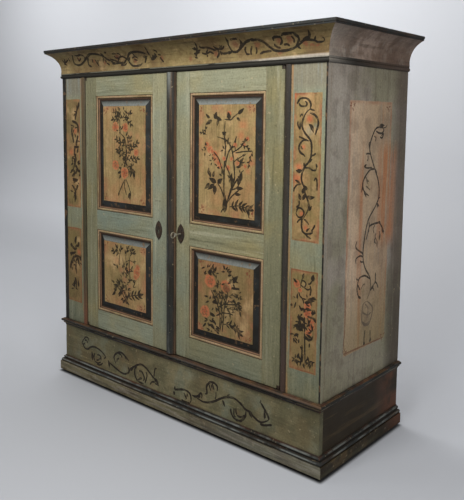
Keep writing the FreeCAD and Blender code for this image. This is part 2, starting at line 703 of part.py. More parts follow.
def almond(centre_x, rim, from_y, thickness):
    half_width = PLATE_WIDTH / 2 - rim
    half_height = PLATE_HEIGHT / 2 - 2 * rim
    top = Vector(centre_x, from_y, LOCK_HEIGHT + half_height)
    foot = Vector(centre_x, from_y, LOCK_HEIGHT - half_height)
    west = Part.Arc(top, Vector(centre_x - half_width, from_y, LOCK_HEIGHT), foot)
    east = Part.Arc(foot, Vector(centre_x + half_width, from_y, LOCK_HEIGHT), top)
    return Part.Face(Part.Wire([west.toShape(), east.toShape()])).extrude(-BACKWARD * thickness)


def keyhole_plate(centre_x):
    plate = almond(centre_x, 0, FRONT_Y, PLATE_THICKNESS)
    plate = plate.fuse(almond(centre_x, PLATE_RIM, FRONT_Y - PLATE_THICKNESS, PLATE_RAISE))
    front_y = FRONT_Y - PLATE_THICKNESS - PLATE_RAISE
    return plate.cut(keyhole(centre_x, front_y, FRONT_Y, KEY_FIT)).removeSplitter()


def bolt_levels(ease):
    top = LOCK_HEIGHT - BOLT_DROP + ease
    return top - BOLT_HEIGHT - 2 * ease, top


def bolt_depths(ease):
    front = DOOR_BACK + BOLT_SETBACK
    return front - ease, front + BOLT_THICKNESS + ease


def lock_case():
    # A rim lock: a shallow iron box, open towards the door, with a guide for the bolt.
    west = meeting_edge(RIGHT) + LOCK_CASE_EDGE
    east = RIGHT_PLATE_X + LOCK_CASE_PAST_KEY
    back = DOOR_BACK + LOCK_CASE_DEPTH
    low = LOCK_HEIGHT - LOCK_CASE_HEIGHT / 2
    high = LOCK_HEIGHT + LOCK_CASE_HEIGHT / 2
    wall = LOCK_CASE_WALL
    hollow = box((west + wall, east - wall), (DOOR_BACK, back - wall), (low + wall, high - wall))
    case = box((west, east), (DOOR_BACK, back), (low, high)).cut(hollow)
    guide_x = RIGHT_PLATE_X - LOCK_GUIDE_FROM_KEY
    guide = box((guide_x - LOCK_GUIDE, guide_x), (DOOR_BACK, back - wall), (low + wall, LOCK_HEIGHT))
    bolt_way = box((west, guide_x), bolt_depths(BOLT_FIT), bolt_levels(BOLT_FIT))
    return case.fuse(guide).cut(bolt_way).removeSplitter()


def lock_bolt():
    # The talon is the notch that the key's bit pushes along.
    west = meeting_edge(RIGHT) + LOCK_CASE_EDGE
    low, high = bolt_levels(0)
    bolt = box((west, RIGHT_PLATE_X + BOLT_TAIL), bolt_depths(0), (low, high))
    talon_x = (RIGHT_PLATE_X - TALON_LEFT, RIGHT_PLATE_X + TALON_RIGHT)
    return bolt.cut(box(talon_x, bolt_depths(0), (high - TALON_DEPTH, high)))


def bolt_keeper():
    east = meeting_edge(LEFT) - LOCK_CASE_EDGE
    low, high = bolt_levels(KEEPER_FIT)
    block = box((east - KEEPER_LENGTH, east), (DOOR_BACK, DOOR_BACK + LOCK_CASE_DEPTH),
                (low - KEEPER_WALL, high + KEEPER_WALL))
    return block.cut(box((east - KEEPER_POCKET, east), bolt_depths(KEEPER_FIT), (low, high)))


def key():
    # A turned shank with a collar, a ring bow and a flat bit that hangs down at rest.
    x = RIGHT_PLATE_X
    bit_front, bit_back = bolt_depths(0)
    bit_middle = (bit_front + bit_back) / 2
    bit_y = (bit_middle - KEY_BIT_LENGTH / 2, bit_middle + KEY_BIT_LENGTH / 2)
    start = FRONT_Y - KEY_SHANK_OUT
    shank = rod(KEY_SHANK_RADIUS, Vector(x, start, LOCK_HEIGHT), BACKWARD, bit_y[1] - start)
    half = KEY_BIT_THICKNESS / 2
    bit = box((x - half, x + half), bit_y, (LOCK_HEIGHT - KEY_BIT_REACH, LOCK_HEIGHT))
    collar = rod(KEY_COLLAR_RADIUS, Vector(x, start, LOCK_HEIGHT), BACKWARD, KEY_COLLAR_LENGTH)
    bow_middle = Vector(x, start - KEY_BOW_RADIUS, LOCK_HEIGHT)
    bow = Part.makeTorus(KEY_BOW_RADIUS, KEY_BOW_BAR_RADIUS, bow_middle, EAST)
    return shank.fuse(bit).fuse(collar).fuse(bow).removeSplitter()


def lock_parts():
    nodes = {}
    nodes["left_escutcheon"] = keyhole_plate(LEFT_PLATE_X)
    nodes["right_escutcheon"] = keyhole_plate(RIGHT_PLATE_X)
    nodes["lock_case"] = lock_case()
    nodes["lock_bolt"] = lock_bolt()
    nodes["bolt_keeper"] = bolt_keeper()
    nodes["key"] = key()
    return nodes


def slide_bolt():
    # A square bolt in two staples; pushed up, it stands behind the head rail.
    plate_y = (DOOR_BACK, DOOR_BACK + SLIDE_PLATE)
    bolt_front = plate_y[1] + SLIDE_BOLT_FIT
    bolt_y = (bolt_front, bolt_front + SLIDE_BOLT_DEPTH)
    half = SLIDE_BOLT_WIDTH / 2
    top = DOOR_TOP - SLIDE_BOLT_DROP
    foot = top - SLIDE_BOLT_LENGTH
    bolt = box((SLIDE_BOLT_X - half, SLIDE_BOLT_X + half), bolt_y, (foot, top))
    knob_foot = Vector(SLIDE_BOLT_X, bolt_y[1], (foot + top) / 2)
    bolt = bolt.fuse(rod(SLIDE_KNOB_RADIUS, knob_foot, BACKWARD, SLIDE_KNOB_LENGTH))
    half_plate = SLIDE_PLATE_WIDTH / 2
    plate_z = (foot, DOOR_TOP - SLIDE_PLATE_DROP)
    plate = box((SLIDE_BOLT_X - half_plate, SLIDE_BOLT_X + half_plate), plate_y, plate_z)
    half_staple = SLIDE_STAPLE_WIDTH / 2
    ease = half + SLIDE_BOLT_FIT
    way = box((SLIDE_BOLT_X - ease, SLIDE_BOLT_X + ease), (plate_y[1], bolt_y[1] + SLIDE_BOLT_FIT), plate_z)
    for low in (plate_z[0] + SLIDE_STAPLE_INSET, plate_z[1] - SLIDE_STAPLE_INSET - SLIDE_STAPLE_HEIGHT):
        staple_y = (plate_y[1], bolt_y[1] + SLIDE_BOLT_FIT + SLIDE_STAPLE_WALL)
        staple_x = (SLIDE_BOLT_X - half_staple, SLIDE_BOLT_X + half_staple)
        plate = plate.fuse(box(staple_x, staple_y, (low, low + SLIDE_STAPLE_HEIGHT)).cut(way))
    return {"slide_bolt": bolt.removeSplitter(), "slide_bolt_plate": plate.removeSplitter()}


def bore_meeting_stile(nodes):
    name = "right_door_meeting_stile"
    nodes[name] = nodes[name].cut(keyhole(RIGHT_PLATE_X, FRONT_Y, DOOR_BACK, KEYHOLE_SLOT_EASE))


def main():
    nodes = {}
    nodes.update(plinth())
    nodes.update(base_moulding())
    nodes.update(waist_moulding())
    nodes.update(carcass())
    nodes.update(frieze_moulding())
    nodes.update(cornice_cap())
    nodes.update(shelves_and_cleats())
    nodes.update(pivot_sockets())
    nodes.update(door(LEFT, "left"))
    nodes.update(door(RIGHT, "right"))
    nodes["cover_strip"] = cover_strip()
    nodes.update(lock_parts())
    nodes.update(slide_bolt())
    bore_meeting_stile(nodes)
    os.makedirs("parts", exist_ok=True)
    for name, shape in nodes.items():
        shape.exportStep(os.path.join("parts", name + ".step"))


main()
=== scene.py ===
import math
import random
import bpy
from mathutils import Matrix, Vector
from mathutils.bvhtree import BVHTree


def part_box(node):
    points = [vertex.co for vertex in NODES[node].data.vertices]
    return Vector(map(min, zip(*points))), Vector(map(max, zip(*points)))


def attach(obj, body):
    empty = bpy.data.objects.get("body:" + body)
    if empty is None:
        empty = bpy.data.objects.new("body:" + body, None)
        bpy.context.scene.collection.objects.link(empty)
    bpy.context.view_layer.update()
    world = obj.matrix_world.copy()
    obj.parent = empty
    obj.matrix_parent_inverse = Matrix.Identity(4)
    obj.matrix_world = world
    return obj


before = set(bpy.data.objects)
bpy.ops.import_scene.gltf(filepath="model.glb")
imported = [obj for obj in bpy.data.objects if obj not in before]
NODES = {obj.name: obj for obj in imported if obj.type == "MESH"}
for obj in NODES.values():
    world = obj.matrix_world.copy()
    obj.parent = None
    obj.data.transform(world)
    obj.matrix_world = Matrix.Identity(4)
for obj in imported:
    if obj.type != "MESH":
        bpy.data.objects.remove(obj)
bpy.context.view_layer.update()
MM = 0.001


def srgb(red, green, blue):
    # A colour written as 0 to 255 screen values, as the linear colour that shaders use.
    channels = []
    for value in (red, green, blue):
        share = value / 255
        channels.append(share / 12.92 if share <= 0.04045 else ((share + 0.055) / 1.055) ** 2.4)
    return (*channels, 1.0)


# Paint, wood and iron colours
SAGE = srgb(128, 124, 94)
SAGE_BLUE = srgb(116, 124, 108)
SAGE_WARM = srgb(142, 130, 88)
SAGE_PALE = srgb(172, 168, 142)
SAGE_DEEP = srgb(74, 72, 50)
# Dust, and also painted highlights on the top bevels, the cover strip's crown and the base crests
DUST_AND_HIGHLIGHT = srgb(128, 131, 124)
DARK = srgb(34, 32, 26)
DARK_BLUE = srgb(46, 49, 48)
WORN_BROWN = srgb(104, 78, 52)
WORN_RED = srgb(112, 62, 42)
# Worn pale paint, and also painted highlights on the frieze's bead and the waist's reed
WORN_PALE_AND_HIGHLIGHT = srgb(160, 144, 112)
# Grime, and also painted shade in crevices and at the sides' rear
GRIME_AND_SHADE = srgb(38, 32, 22)
FIELD = srgb(154, 130, 86)
FIELD_PEACH = srgb(162, 122, 80)
FIELD_OLIVE = srgb(122, 106, 64)
FIELD_PINK = srgb(150, 96, 68)
FIELD_SHADE = srgb(84, 70, 40)
FIELD_LIGHT = srgb(190, 158, 112)
MOULDING = srgb(148, 122, 92)
MOULDING_DARK = srgb(40, 30, 24)
MOULDING_PINK = srgb(132, 98, 72)
FRIEZE = srgb(132, 114, 76)
FRIEZE_BROWN = srgb(96, 74, 44)
FRIEZE_SIDE = srgb(164, 144, 128)
FRIEZE_SIDE_BROWN = srgb(98, 76, 60)
PLINTH = srgb(122, 112, 82)
PLINTH_BROWN = srgb(88, 70, 42)
PLINTH_SIDE = srgb(42, 32, 14)
PLINTH_RUST = srgb(92, 54, 32)
SIDE = srgb(152, 142, 128)
SIDE_GREEN = srgb(132, 127, 100)
SIDE_PALE = srgb(172, 163, 150)
SIDE_BROWN = srgb(84, 70, 58)
SIDE_PANEL = srgb(184, 156, 124)
SIDE_PANEL_PALE = srgb(208, 182, 154)
SIDE_ORANGE = srgb(172, 112, 70)
BARE_WOOD = srgb(140, 114, 84)
BARE_WOOD_DARK = srgb(98, 76, 54)
BARE_WOOD_GREY = srgb(126, 114, 98)
IRON = srgb(74, 66, 58)
IRON_RUST = srgb(92, 70, 54)
STEEL = srgb(176, 170, 152)
STEEL_DULL = srgb(104, 94, 80)
# Ink, and also painted shadow on the floor and painted shade on the lower bevels
INK_AND_SHADOW = srgb(16, 13, 11)
INK_GREEN = srgb(34, 31, 20)
INK_RED = srgb(24, 14, 9)
OCHRE = srgb(150, 110, 66)
CORAL = srgb(176, 96, 62)
CORAL_DEEP = srgb(108, 46, 31)
ROSE_PALE = srgb(180, 130, 90)
FLOOR_GREY = srgb(180, 182, 186)


def feed(tree, socket, value):
    if isinstance(value, bpy.types.NodeSocket):
        tree.links.new(value, socket)
    else:
        socket.default_value = value


# How strongly old paint mirrors its surroundings
SHEEN = 0.22

# How much slower marks change along the grain than across it, in colour and in relief
GRAIN_SHARE = 0.06
RELIEF_SHARE = 0.08

# The round on every edge, the turn of the face at which wear on an edge begins and is full, as cosines,
# and the rays sent out to find edges
EDGE_ROUND = 0.0015
EDGE_TURN = (0.995, 0.90)
EDGE_RAYS = 4

# Painted crevice shade: its reach from other pieces, the open share where it begins and is full, and its
# rays
CREVICE_SHADE_REACH = 0.07
CREVICE_SHADE_OPEN = (0.95, 0.4)
CREVICE_SHADE_RAYS = 6

# Scale at which a hand-painted edge wavers
WAVER_SCALE = 24

# Depth of the bare layer at an inner face, and how softly the paint ends there
BARE_DEPTH = 0.002
BARE_SOFT = 0.001


def drawn_out(grain, share):
    # How fast a noise changes on each axis, for marks that run along the grain.
    return [share if axis == grain else 1.0 for axis in "XYZ"]


class Paint:
    """A material built up in layers of colour, each laid over the last through a mask."""

    def __init__(self, name, colour):
        self.material = bpy.data.materials.new(name)
        self.material.use_nodes = True
        self.tree = self.material.node_tree
        self.shader = self.tree.nodes["Principled BSDF"]
        self.place = self.make("ShaderNodeTexCoord").outputs["Object"]
        self.axes = self.make("ShaderNodeSeparateXYZ", Vector=self.place).outputs
        self.colour = colour

    def make(self, kind, **inputs):
        node = self.tree.nodes.new(kind)
        for name, value in inputs.items():
            feed(self.tree, node.inputs[name.replace("_", " ")], value)
        return node

    def math(self, operation, first, second):
        node = self.tree.nodes.new("ShaderNodeMath")
        node.operation = operation
        feed(self.tree, node.inputs[0], first)
        feed(self.tree, node.inputs[1], second)
        return node.outputs[0]

    def ramp(self, value, low, high):
        node = self.make("ShaderNodeMapRange", Value=value, From_Min=low, From_Max=high)
        node.interpolation_type = "SMOOTHSTEP"
        return node.outputs["Result"]

    def along(self, axis):
        return self.axes["XYZ".index(axis)]

    def slope(self, axis, low, high, start=0.0):
        # Nought before the first place on an axis and one past the second, both told from a start.
        return self.ramp(self.along(axis), start + low, start + high)

    def noise(self, scale, stretch=(1, 1, 1), detail=4, roughness=0.6, seed=0):
        spot = self.make("ShaderNodeMapping", Vector=self.place, Scale=stretch,
                         Location=(seed, seed * 0.7, -seed))
        return self.make("ShaderNodeTexNoise", Vector=spot.outputs[0], Scale=scale, Detail=detail,
                         Roughness=roughness).outputs[0]

    def blotches(self, scale, low, high, seed):
        return self.ramp(self.noise(scale, detail=3, seed=seed), low, high)

    def speckle(self, scale, low, high, seed):
        return self.ramp(self.noise(scale, detail=2, roughness=0.5, seed=seed), low, high)

    def edges(self, radius):
        # Where a rounded edge would turn away from the flat face beside it.
        soft = self.make("ShaderNodeBevel", Radius=radius)
        soft.samples = EDGE_RAYS
        dot = self.tree.nodes.new("ShaderNodeVectorMath")
        dot.operation = "DOT_PRODUCT"
        feed(self.tree, dot.inputs[0], soft.outputs[0])
        feed(self.tree, dot.inputs[1], self.make("ShaderNodeNewGeometry").outputs["Normal"])
        return self.ramp(dot.outputs["Value"], *EDGE_TURN)

    def crevice_shade(self):
        # Painted shade, laid on in patches, where other pieces stand close.
        shade = self.make("ShaderNodeAmbientOcclusion", Distance=CREVICE_SHADE_REACH)
        shade.samples = CREVICE_SHADE_RAYS
        near = self.ramp(shade.outputs["AO"], *CREVICE_SHADE_OPEN)
        patchy = self.math("ADD", 0.45, self.math("MULTIPLY", self.blotches(14, 0.35, 0.65, 4), 0.55))
        self.cover(patchy, GRIME_AND_SHADE, 0.8, near)

    def weather(self, grain):
        # Fine mottling and grain that lighten and darken every colour alike.
        mottling = self.noise(110, detail=2, roughness=0.5, seed=21)
        lines = self.noise(170, drawn_out(grain, GRAIN_SHARE), 5, 0.65, 22)
        strength = self.make("ShaderNodeMapRange", Value=self.math("ADD", mottling, lines),
                             From_Min=0.7, From_Max=1.3, To_Min=0.80, To_Max=1.20)
        scaled = self.tree.nodes.new("ShaderNodeVectorMath")
        scaled.operation = "SCALE"
        feed(self.tree, scaled.inputs[0], self.colour)
        feed(self.tree, scaled.inputs["Scale"], strength.outputs[0])
        self.colour = scaled.outputs[0]

    def band(self, axis, low, high, soft, wobble=0.0, start=0.0):
        # One between two places on an axis, both told from a start, with a hand-painted edge.
        value = self.along(axis)
        if wobble:
            shake = self.math("SUBTRACT", self.noise(WAVER_SCALE, detail=2), 0.5)
            value = self.math("ADD", value, self.math("MULTIPLY", shake, wobble))
        rise = self.ramp(value, start + low - soft, start + low + soft)
        fall = self.ramp(value, start + high + soft, start + high - soft)
        return self.math("MULTIPLY", rise, fall)

    def patch(self, axis, low, high, other, other_low, other_high, soft, wobble=0.0, inset=0.0):
        first = self.band(axis, low + inset, high - inset, soft, wobble)
        second = self.band(other, other_low + inset, other_high - inset, soft, wobble)
        return self.math("MULTIPLY", first, second)

    def rim(self, panel, axis, low, high, foot, head, across, up, soft, wobble):
        # The border of a painted panel, as wide as told across and up.
        inner = self.patch(axis, low + across, high - across, "Z", foot + up, head - up, soft, wobble)
        return self.math("SUBTRACT", panel, inner)

    def cover(self, mask, colour, share=1.0, area=None):
        # Lay a colour over the last through a mask, inside an area where one is given.
        if area is not None:
            mask = self.math("MULTIPLY", area, mask)
        if share != 1.0:
            mask = self.math("MULTIPLY", mask, share)
        node = self.tree.nodes.new("ShaderNodeMix")
        node.data_type = "RGBA"
        feed(self.tree, node.inputs[0], mask)
        feed(self.tree, node.inputs[6], self.colour)
        feed(self.tree, node.inputs[7], colour)
        self.colour = node.outputs[2]

    def fade(self, axis, span, colour, share, area=None, start=0.0):
        # Lay a colour that comes on between two places on an axis.
        self.cover(self.slope(axis, *span, start), colour, share, area)

    def mottle(self, scale, low, high, seed, colour, share=1.0, area=None):
        self.cover(self.blotches(scale, low, high, seed), colour, share, area)

    def streak(self, grain, scale, low, high, seed, colour, share=1.0, area=None):
        # Long thin marks along the grain axis.
        marks = self.noise(scale, drawn_out(grain, GRAIN_SHARE), 5, 0.65, seed)
        self.cover(self.ramp(marks, low, high), colour, share, area)

    def fleck(self, scale, low, high, seed, colour, share=1.0, area=None):
        self.cover(self.speckle(scale, low, high, seed), colour, share, area)

    def bare(self, inside, seed):
        # A face that only shows inside was never painted.
        self.cover(inside, BARE_WOOD)
        self.mottle(2.5, 0.4, 0.65, seed, BARE_WOOD_GREY, 0.7, inside)
        self.streak("Z", 46, 0.5, 0.72, seed, BARE_WOOD_DARK, 0.45, inside)

    def bare_back(self, node, seed):
        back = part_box(node)[1].y
        self.bare(self.slope("Y", -BARE_DEPTH, BARE_SOFT - BARE_DEPTH, back), seed)

    def strokes(self):
        # Brush strokes carry their own colour and strength, and are worn through in places.
        mark = self.make("ShaderNodeAttribute")
        mark.attribute_name = "tint"
        lost = self.math("MULTIPLY", self.speckle(48, 0.5, 0.72, 3), 0.32)
        kept = self.math("SUBTRACT", 1.0, lost)
        self.cover(self.math("MULTIPLY", mark.outputs["Alpha"], kept), mark.outputs["Color"])

    def finish(self, grain, gloss=(0.5, 0.75), depth=0.0006, metal=0.0):
        self.weather(grain)
        # Painted shade in the crevices.
        self.crevice_shade()
        feed(self.tree, self.shader.inputs["Base Color"], self.colour)
        self.shader.inputs["Metallic"].default_value = metal
        self.shader.inputs["Specular IOR Level"].default_value = SHEEN
        rough = self.make("ShaderNodeMapRange", Value=self.noise(9, detail=3, seed=5),
                          To_Min=gloss[0], To_Max=gloss[1])
        feed(self.tree, self.shader.inputs["Roughness"], rough.outputs[0])
        height = self.noise(150, drawn_out(grain, RELIEF_SHARE), 4, 0.6, 2)
        rounded = self.make("ShaderNodeBevel", Radius=EDGE_ROUND)
        rounded.samples = EDGE_RAYS
        bump = self.make("ShaderNodeBump", Strength=0.5, Distance=depth, Height=height,
                         Normal=rounded.outputs[0])
        feed(self.tree, self.shader.inputs["Normal"], bump.outputs[0])
        return self.material


def dress(material, *nodes):
    for name in nodes:
        slots = NODES[name].data.materials
        slots.clear()
        slots.append(material)


def add(name, data):
    piece = bpy.data.objects.new(name, data)
    bpy.context.scene.collection.objects.link(piece)
    return piece


# The camera that took the photograph, worked out from the cupboard's edges in it
CAMERA_PLACE = Vector((2.3165, -2.6341, 1.5148))
CAMERA_FORWARD = Vector((-0.67693, 0.72902, -0.10144))
CAMERA_RIGHT = Vector((0.73243, 0.68082, 0.00521))
CAMERA_UP = CAMERA_RIGHT.cross(CAMERA_FORWARD).normalized()
CAMERA_LENS = 47.44
CAMERA_SHIFT = (0.0736, -0.125)
SENSOR_WIDTH = 36.0
PHOTO_SIZE = (464, 500)

# Ornament is drawn in millimetres, across the face that it lies on and up from a level near the floor
DRAWING_LEVEL = 10.0
UP = Vector((0, 0, 1))
CURVE_STEP = 6.0

# How far in front of the wood the first stroke lies, and each next one in front of the last, in metres
FIRST_LIFT = 0.0001
NEXT_LIFT = 0.000004

# Strokes are laid on the sides from this far off the middle, and on the front from this far before it
SIDE_RAYS_FROM = 2.0
FRONT_RAYS_FROM = 1.0

# How strong the dark line is, a stroke's share of its full width at its start and at its end, and how fast
# it swells
LINE_STRENGTH = 0.92
STROKE_START = 0.45
STROKE_END = 0.3
STROKE_SWELL = 5

# A leaf's steps, its width and its greatest bend as shares of its length, the width of its ends, and how far
# its widest part lies towards the stalk
LEAF_STEPS = 6
LEAF_FULLNESS = 0.40
LEAF_BEND = 0.25
LEAF_TIP = 0.8
LEAF_TAPER = 0.75

# The space between leaves on a twig, in turn or in pairs, and the width of paired leaves and of leaves in a
# spray, as shares of their length
TURN_SPACING = 0.4
PAIR_SPACING = 0.55
PAIR_FULLNESS = 0.30
SPRAY_FULLNESS = 0.32

# Sides of a blossom, and its rings and a stain's: share of the radius, of the strength and of the deep tone
BLOOM_SIDES = 16
BLOOM_RINGS = ((0.05, 1.0, 0.6), (0.5, 1.0, 0.25), (0.88, 0.8, 0.0), (1.15, 0.0, 0.0))
STAIN_RINGS = ((0.05, 1.0, 0.0), (0.4, 0.85, 0.0), (0.8, 0.35, 0.0), (1.3, 0.0, 0.0))

# A petal's stroke in turns and shares of the radius, its width as a share of it, and the radius from which a
# blossom has twice as many
PETAL_ARC = ((-0.5, 0.35), (0.0, 0.68), (0.5, 0.55))
PETAL_WIDTH = 0.17
LARGE_BLOOM = 20.0

# No stroke on a pilaster goes past these places across it
LEFT_PILASTER_SIDES = (-862, -733)
RIGHT_PILASTER_SIDES = (732, 862)

# In a door panel's field, the bare margin and the places of the corner marks
FIELD_MARGIN = 4
CORNER_ACROSS = 22
CORNER_UP = 20


def smooth(points):
    # A flowing curve through given points, as short steps.
    path = []
    for i in range(len(points) - 1):
        before = points[max(i - 1, 0)]
        start = points[i]
        end = points[i + 1]
        after = points[min(i + 2, len(points) - 1)]
        steps = max(2, round(math.dist(start, end) / CURVE_STEP))
        for step in range(steps):
            t = step / steps
            path.append(tuple(
                0.5 * (2 * b + (c - a) * t + (2 * a - 5 * b + 4 * c - d) * t ** 2
                       + (3 * b - a - 3 * c + d) * t ** 3)
                for a, b, c, d in zip(before, start, end, after)))
    path.append(tuple(points[-1]))
    return path


def solid_of(node):
    mesh = NODES[node].data
    return BVHTree.FromPolygons([v.co for v in mesh.vertices], [p.vertices for p in mesh.polygons])


class Ornament:
    """Brush strokes on one face of a node: flat shapes that lie just in front of the wood."""

    def __init__(self, name, node, seed):
        self.name = name
        self.random = random.Random(seed)
        self.verts = []
        self.faces = []
        self.tints = []
        self.strokes = 0
        self.sides = (-math.inf, math.inf)
        self.levels = (-math.inf, math.inf)
        self.wood = solid_of(node)
        # The photograph shows the right side alone, and the left one is taken to match it.
        self.seen_wood = solid_of(node.replace("left_side", "right_side"))
        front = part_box("plinth_front")[0].y
        if node.endswith("_side"):
            outward = Vector((1 if node.startswith("right") else -1, 0, 0))
            self.start = outward * SIDE_RAYS_FROM + Vector((0, front, 0))
            self.across = Vector((0, 1, 0))
        else:
            outward = Vector((0, -1, 0))
            self.start = Vector((0, front - FRONT_RAYS_FROM, 0))
            self.across = Vector((1, 0, 0))
        self.inward = -outward
        self.flipped = self.across.cross(UP).dot(outward) < 0

    def seen(self, *places):
        # Places picked in the photograph, as places on the face; other values are kept.
        focus = CAMERA_LENS / SENSOR_WIDTH * PHOTO_SIZE[1]
        middle_u = PHOTO_SIZE[0] / 2 - CAMERA_SHIFT[0] * PHOTO_SIZE[1]
        middle_v = PHOTO_SIZE[1] / 2 + CAMERA_SHIFT[1] * PHOTO_SIZE[1]
        found = []
        for u, v, *rest in places:
            right = CAMERA_RIGHT * ((u - middle_u) / focus)
            down = CAMERA_UP * ((v - middle_v) / focus)
            hit = self.seen_wood.ray_cast(CAMERA_PLACE, (CAMERA_FORWARD + right - down).normalized())[0]
            if hit is None:
                raise ValueError(f"{self.name} has no wood at {u}, {v} in the photograph")
            found.append(((hit - self.start).dot(self.across) / MM, hit.z / MM - DRAWING_LEVEL, *rest))
        return found

    def lay(self, across, up, tint):
        across = min(max(across, self.sides[0]), self.sides[1])
        up = min(max(up, self.levels[0]), self.levels[1])
        place = self.start + self.across * across * MM + UP * (up + DRAWING_LEVEL) * MM
        hit = self.wood.ray_cast(place, self.inward)[0]
        if hit is None:
            raise ValueError(f"{self.name} has no wood at {across:.0f}, {up:.0f}")
        self.verts.append(hit - self.inward * (FIRST_LIFT + NEXT_LIFT * self.strokes))
        self.tints.append(tint)
        return len(self.verts) - 1

    def face(self, corners):
        self.faces.append(corners[::-1] if self.flipped else corners)

    def ribbon(self, path, widths, colour, strength):
        tint = (*colour[:3], strength)
        self.strokes += 1
        rows = []
        for i, (across, up) in enumerate(path):
            before = path[max(i - 1, 0)]
            after = path[min(i + 1, len(path) - 1)]
            run = Vector((after[0] - before[0], after[1] - before[1])).normalized() * widths[i] / 2
            left = self.lay(across - run.y, up + run.x, tint)
            rows.append((left, self.lay(across + run.y, up - run.x, tint)))
        for (left, right), (next_left, next_right) in zip(rows, rows[1:]):
            self.face((right, next_right, next_left, left))

    def lines(self, width, *paths, colour=INK_AND_SHADOW, strength=LINE_STRENGTH):
        for points in paths:
            path = smooth(points)
            last = len(path) - 1
            widths = []
            for i in range(len(path)):
                rise = STROKE_START + STROKE_SWELL * i / last
                fall = STROKE_END + STROKE_SWELL * (last - i) / last
                widths.append(width * min(1.0, rise, fall) * self.random.uniform(0.85, 1.15))
            self.ribbon(path, widths, colour, strength)

    def trace(self, width, *paths, **style):
        self.lines(width, *[self.seen(*points) for points in paths], **style)

    def leaf(self, across, up, angle, length, width=0.0, colour=INK_AND_SHADOW, strength=LINE_STRENGTH):
        # From the stalk end, along an angle in degrees that turns left from level.
        turn = math.radians(angle)
        bend = length * self.random.uniform(-LEAF_BEND, LEAF_BEND)
        full = width or length * LEAF_FULLNESS
        path = []
        widths = []
        for i in range(LEAF_STEPS + 1):
            share = i / LEAF_STEPS
            along = length * share
            sway = bend * share ** 2
            path.append((across + math.cos(turn) * along - math.sin(turn) * sway,
                         up + math.sin(turn) * along + math.cos(turn) * sway))
            widths.append(LEAF_TIP + full * math.sin(math.pi * share ** LEAF_TAPER))
        self.ribbon(path, widths, colour, strength)

    def leaves(self, *places, **style):
        for place in places:
            self.leaf(*place, **style)

    def twig(self, points, length, paired=False, width=3.5, **style):
        # A stem with leaves on both sides, in pairs or in turn.
        self.lines(width, points, **style)
        path = smooth(points)
        spacing = PAIR_SPACING if paired else TURN_SPACING
        every = max(2, round(length * spacing / CURVE_STEP))
        side = 1
        for i in range(every, len(path), every):
            run = math.degrees(math.atan2(path[i][1] - path[i - 1][1], path[i][0] - path[i - 1][0]))
            for turn in (side, -side) if paired else (side,):
                angle = run + turn * self.random.uniform(35, 55)
                size = length * self.random.uniform(0.8, 1.15)
                self.leaf(*path[i], angle, size, size * PAIR_FULLNESS if paired else 0.0, **style)
            side = -side
        self.leaf(*path[-1], run, length, **style)

    def twigs(self, length, *paths, **style):
        for points in paths:
            self.twig(points, length, **style)

    def cluster(self, across, up, count, length, **style):
        # A loose spray of leaves about one place.
        for _ in range(count):
            angle = self.random.uniform(0, 360)
            turn = math.radians(angle)
            reach = length * self.random.uniform(0.1, 0.6)
            size = length * self.random.uniform(0.5, 1.0)
            self.leaf(across + reach * math.cos(turn), up + reach * math.sin(turn),
                      angle + self.random.uniform(-50, 50), size, size * SPRAY_FULLNESS, **style)

    def clusters(self, count, length, *places, **style):
        for place in places:
            self.cluster(*place, count, length, **style)

    def bloom(self, across, up, radius, colour=CORAL, strength=0.9, petals=5):
        # A soft round flower with darker strokes for its petals.
        self.strokes += 1
        turns = [math.tau * i / BLOOM_SIDES for i in range(BLOOM_SIDES)]
        swell = [self.random.uniform(0.86, 1.1) for _ in turns]
        rows = []
        for share, cover, heart in BLOOM_RINGS if petals else STAIN_RINGS:
            shade = [c + (d - c) * heart if petals else c for c, d in zip(colour[:3], CORAL_DEEP)]
            tint = (*shade, strength * cover)
            rows.append([self.lay(across + math.cos(turn) * radius * share * swell[i],
                                  up + math.sin(turn) * radius * share * swell[i], tint)
                         for i, turn in enumerate(turns)])
        self.face(tuple(rows[0]))
        for inner, outer in zip(rows, rows[1:]):
            for i in range(BLOOM_SIDES):
                after = (i + 1) % BLOOM_SIDES
                self.face((inner[i], outer[i], outer[after], inner[after]))
        for i in range(petals if radius < LARGE_BLOOM else 2 * petals):
            turn = math.tau * (i + self.random.random() * 0.5) / petals
            out = self.random.uniform(0.6, 1.15)
            arc = [(across + math.cos(turn + bend) * radius * reach * out,
                    up + math.sin(turn + bend) * radius * reach * out) for bend, reach in PETAL_ARC]
            faint = strength * self.random.uniform(0.35, 0.75)
            self.lines(radius * PETAL_WIDTH, arc, colour=CORAL_DEEP, strength=faint)

    def smears(self, *places, colour=ROSE_PALE, strength=0.3):
        # Blossoms that have worn away to a stain.
        for across, up, radius in places:
            self.bloom(across, up, radius, colour, strength, 0)

    def blooms(self, *places, **style):
        for place in places:
            self.bloom(*place, **style)

    def finish(self, material, body, slot):
        mesh = bpy.data.meshes.new(self.name)
        mesh.from_pydata(self.verts, [], self.faces)
        tint = mesh.color_attributes.new("tint", "FLOAT_COLOR", "POINT")
        tint.data.foreach_set("color", [channel for colour in self.tints for channel in colour])
        mesh.materials.append(material)
        piece = add(self.name, mesh)
        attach(piece, body)


def corner_marks(art, node):
    # Small worn strokes in the four corners of a door panel's field, and no stroke outside it.
    left, right, low, high = (edge / MM for edge in field_of(node))
    low -= DRAWING_LEVEL
    high -= DRAWING_LEVEL
    art.sides = (left + FIELD_MARGIN, right - FIELD_MARGIN)
    art.levels = (low + FIELD_MARGIN, high - FIELD_MARGIN)
    for across in (left + CORNER_ACROSS, right - CORNER_ACROSS):
        art.clusters(6, 20, (across, low + CORNER_UP), (across, high - CORNER_UP),
                     colour=WORN_RED, strength=0.85)


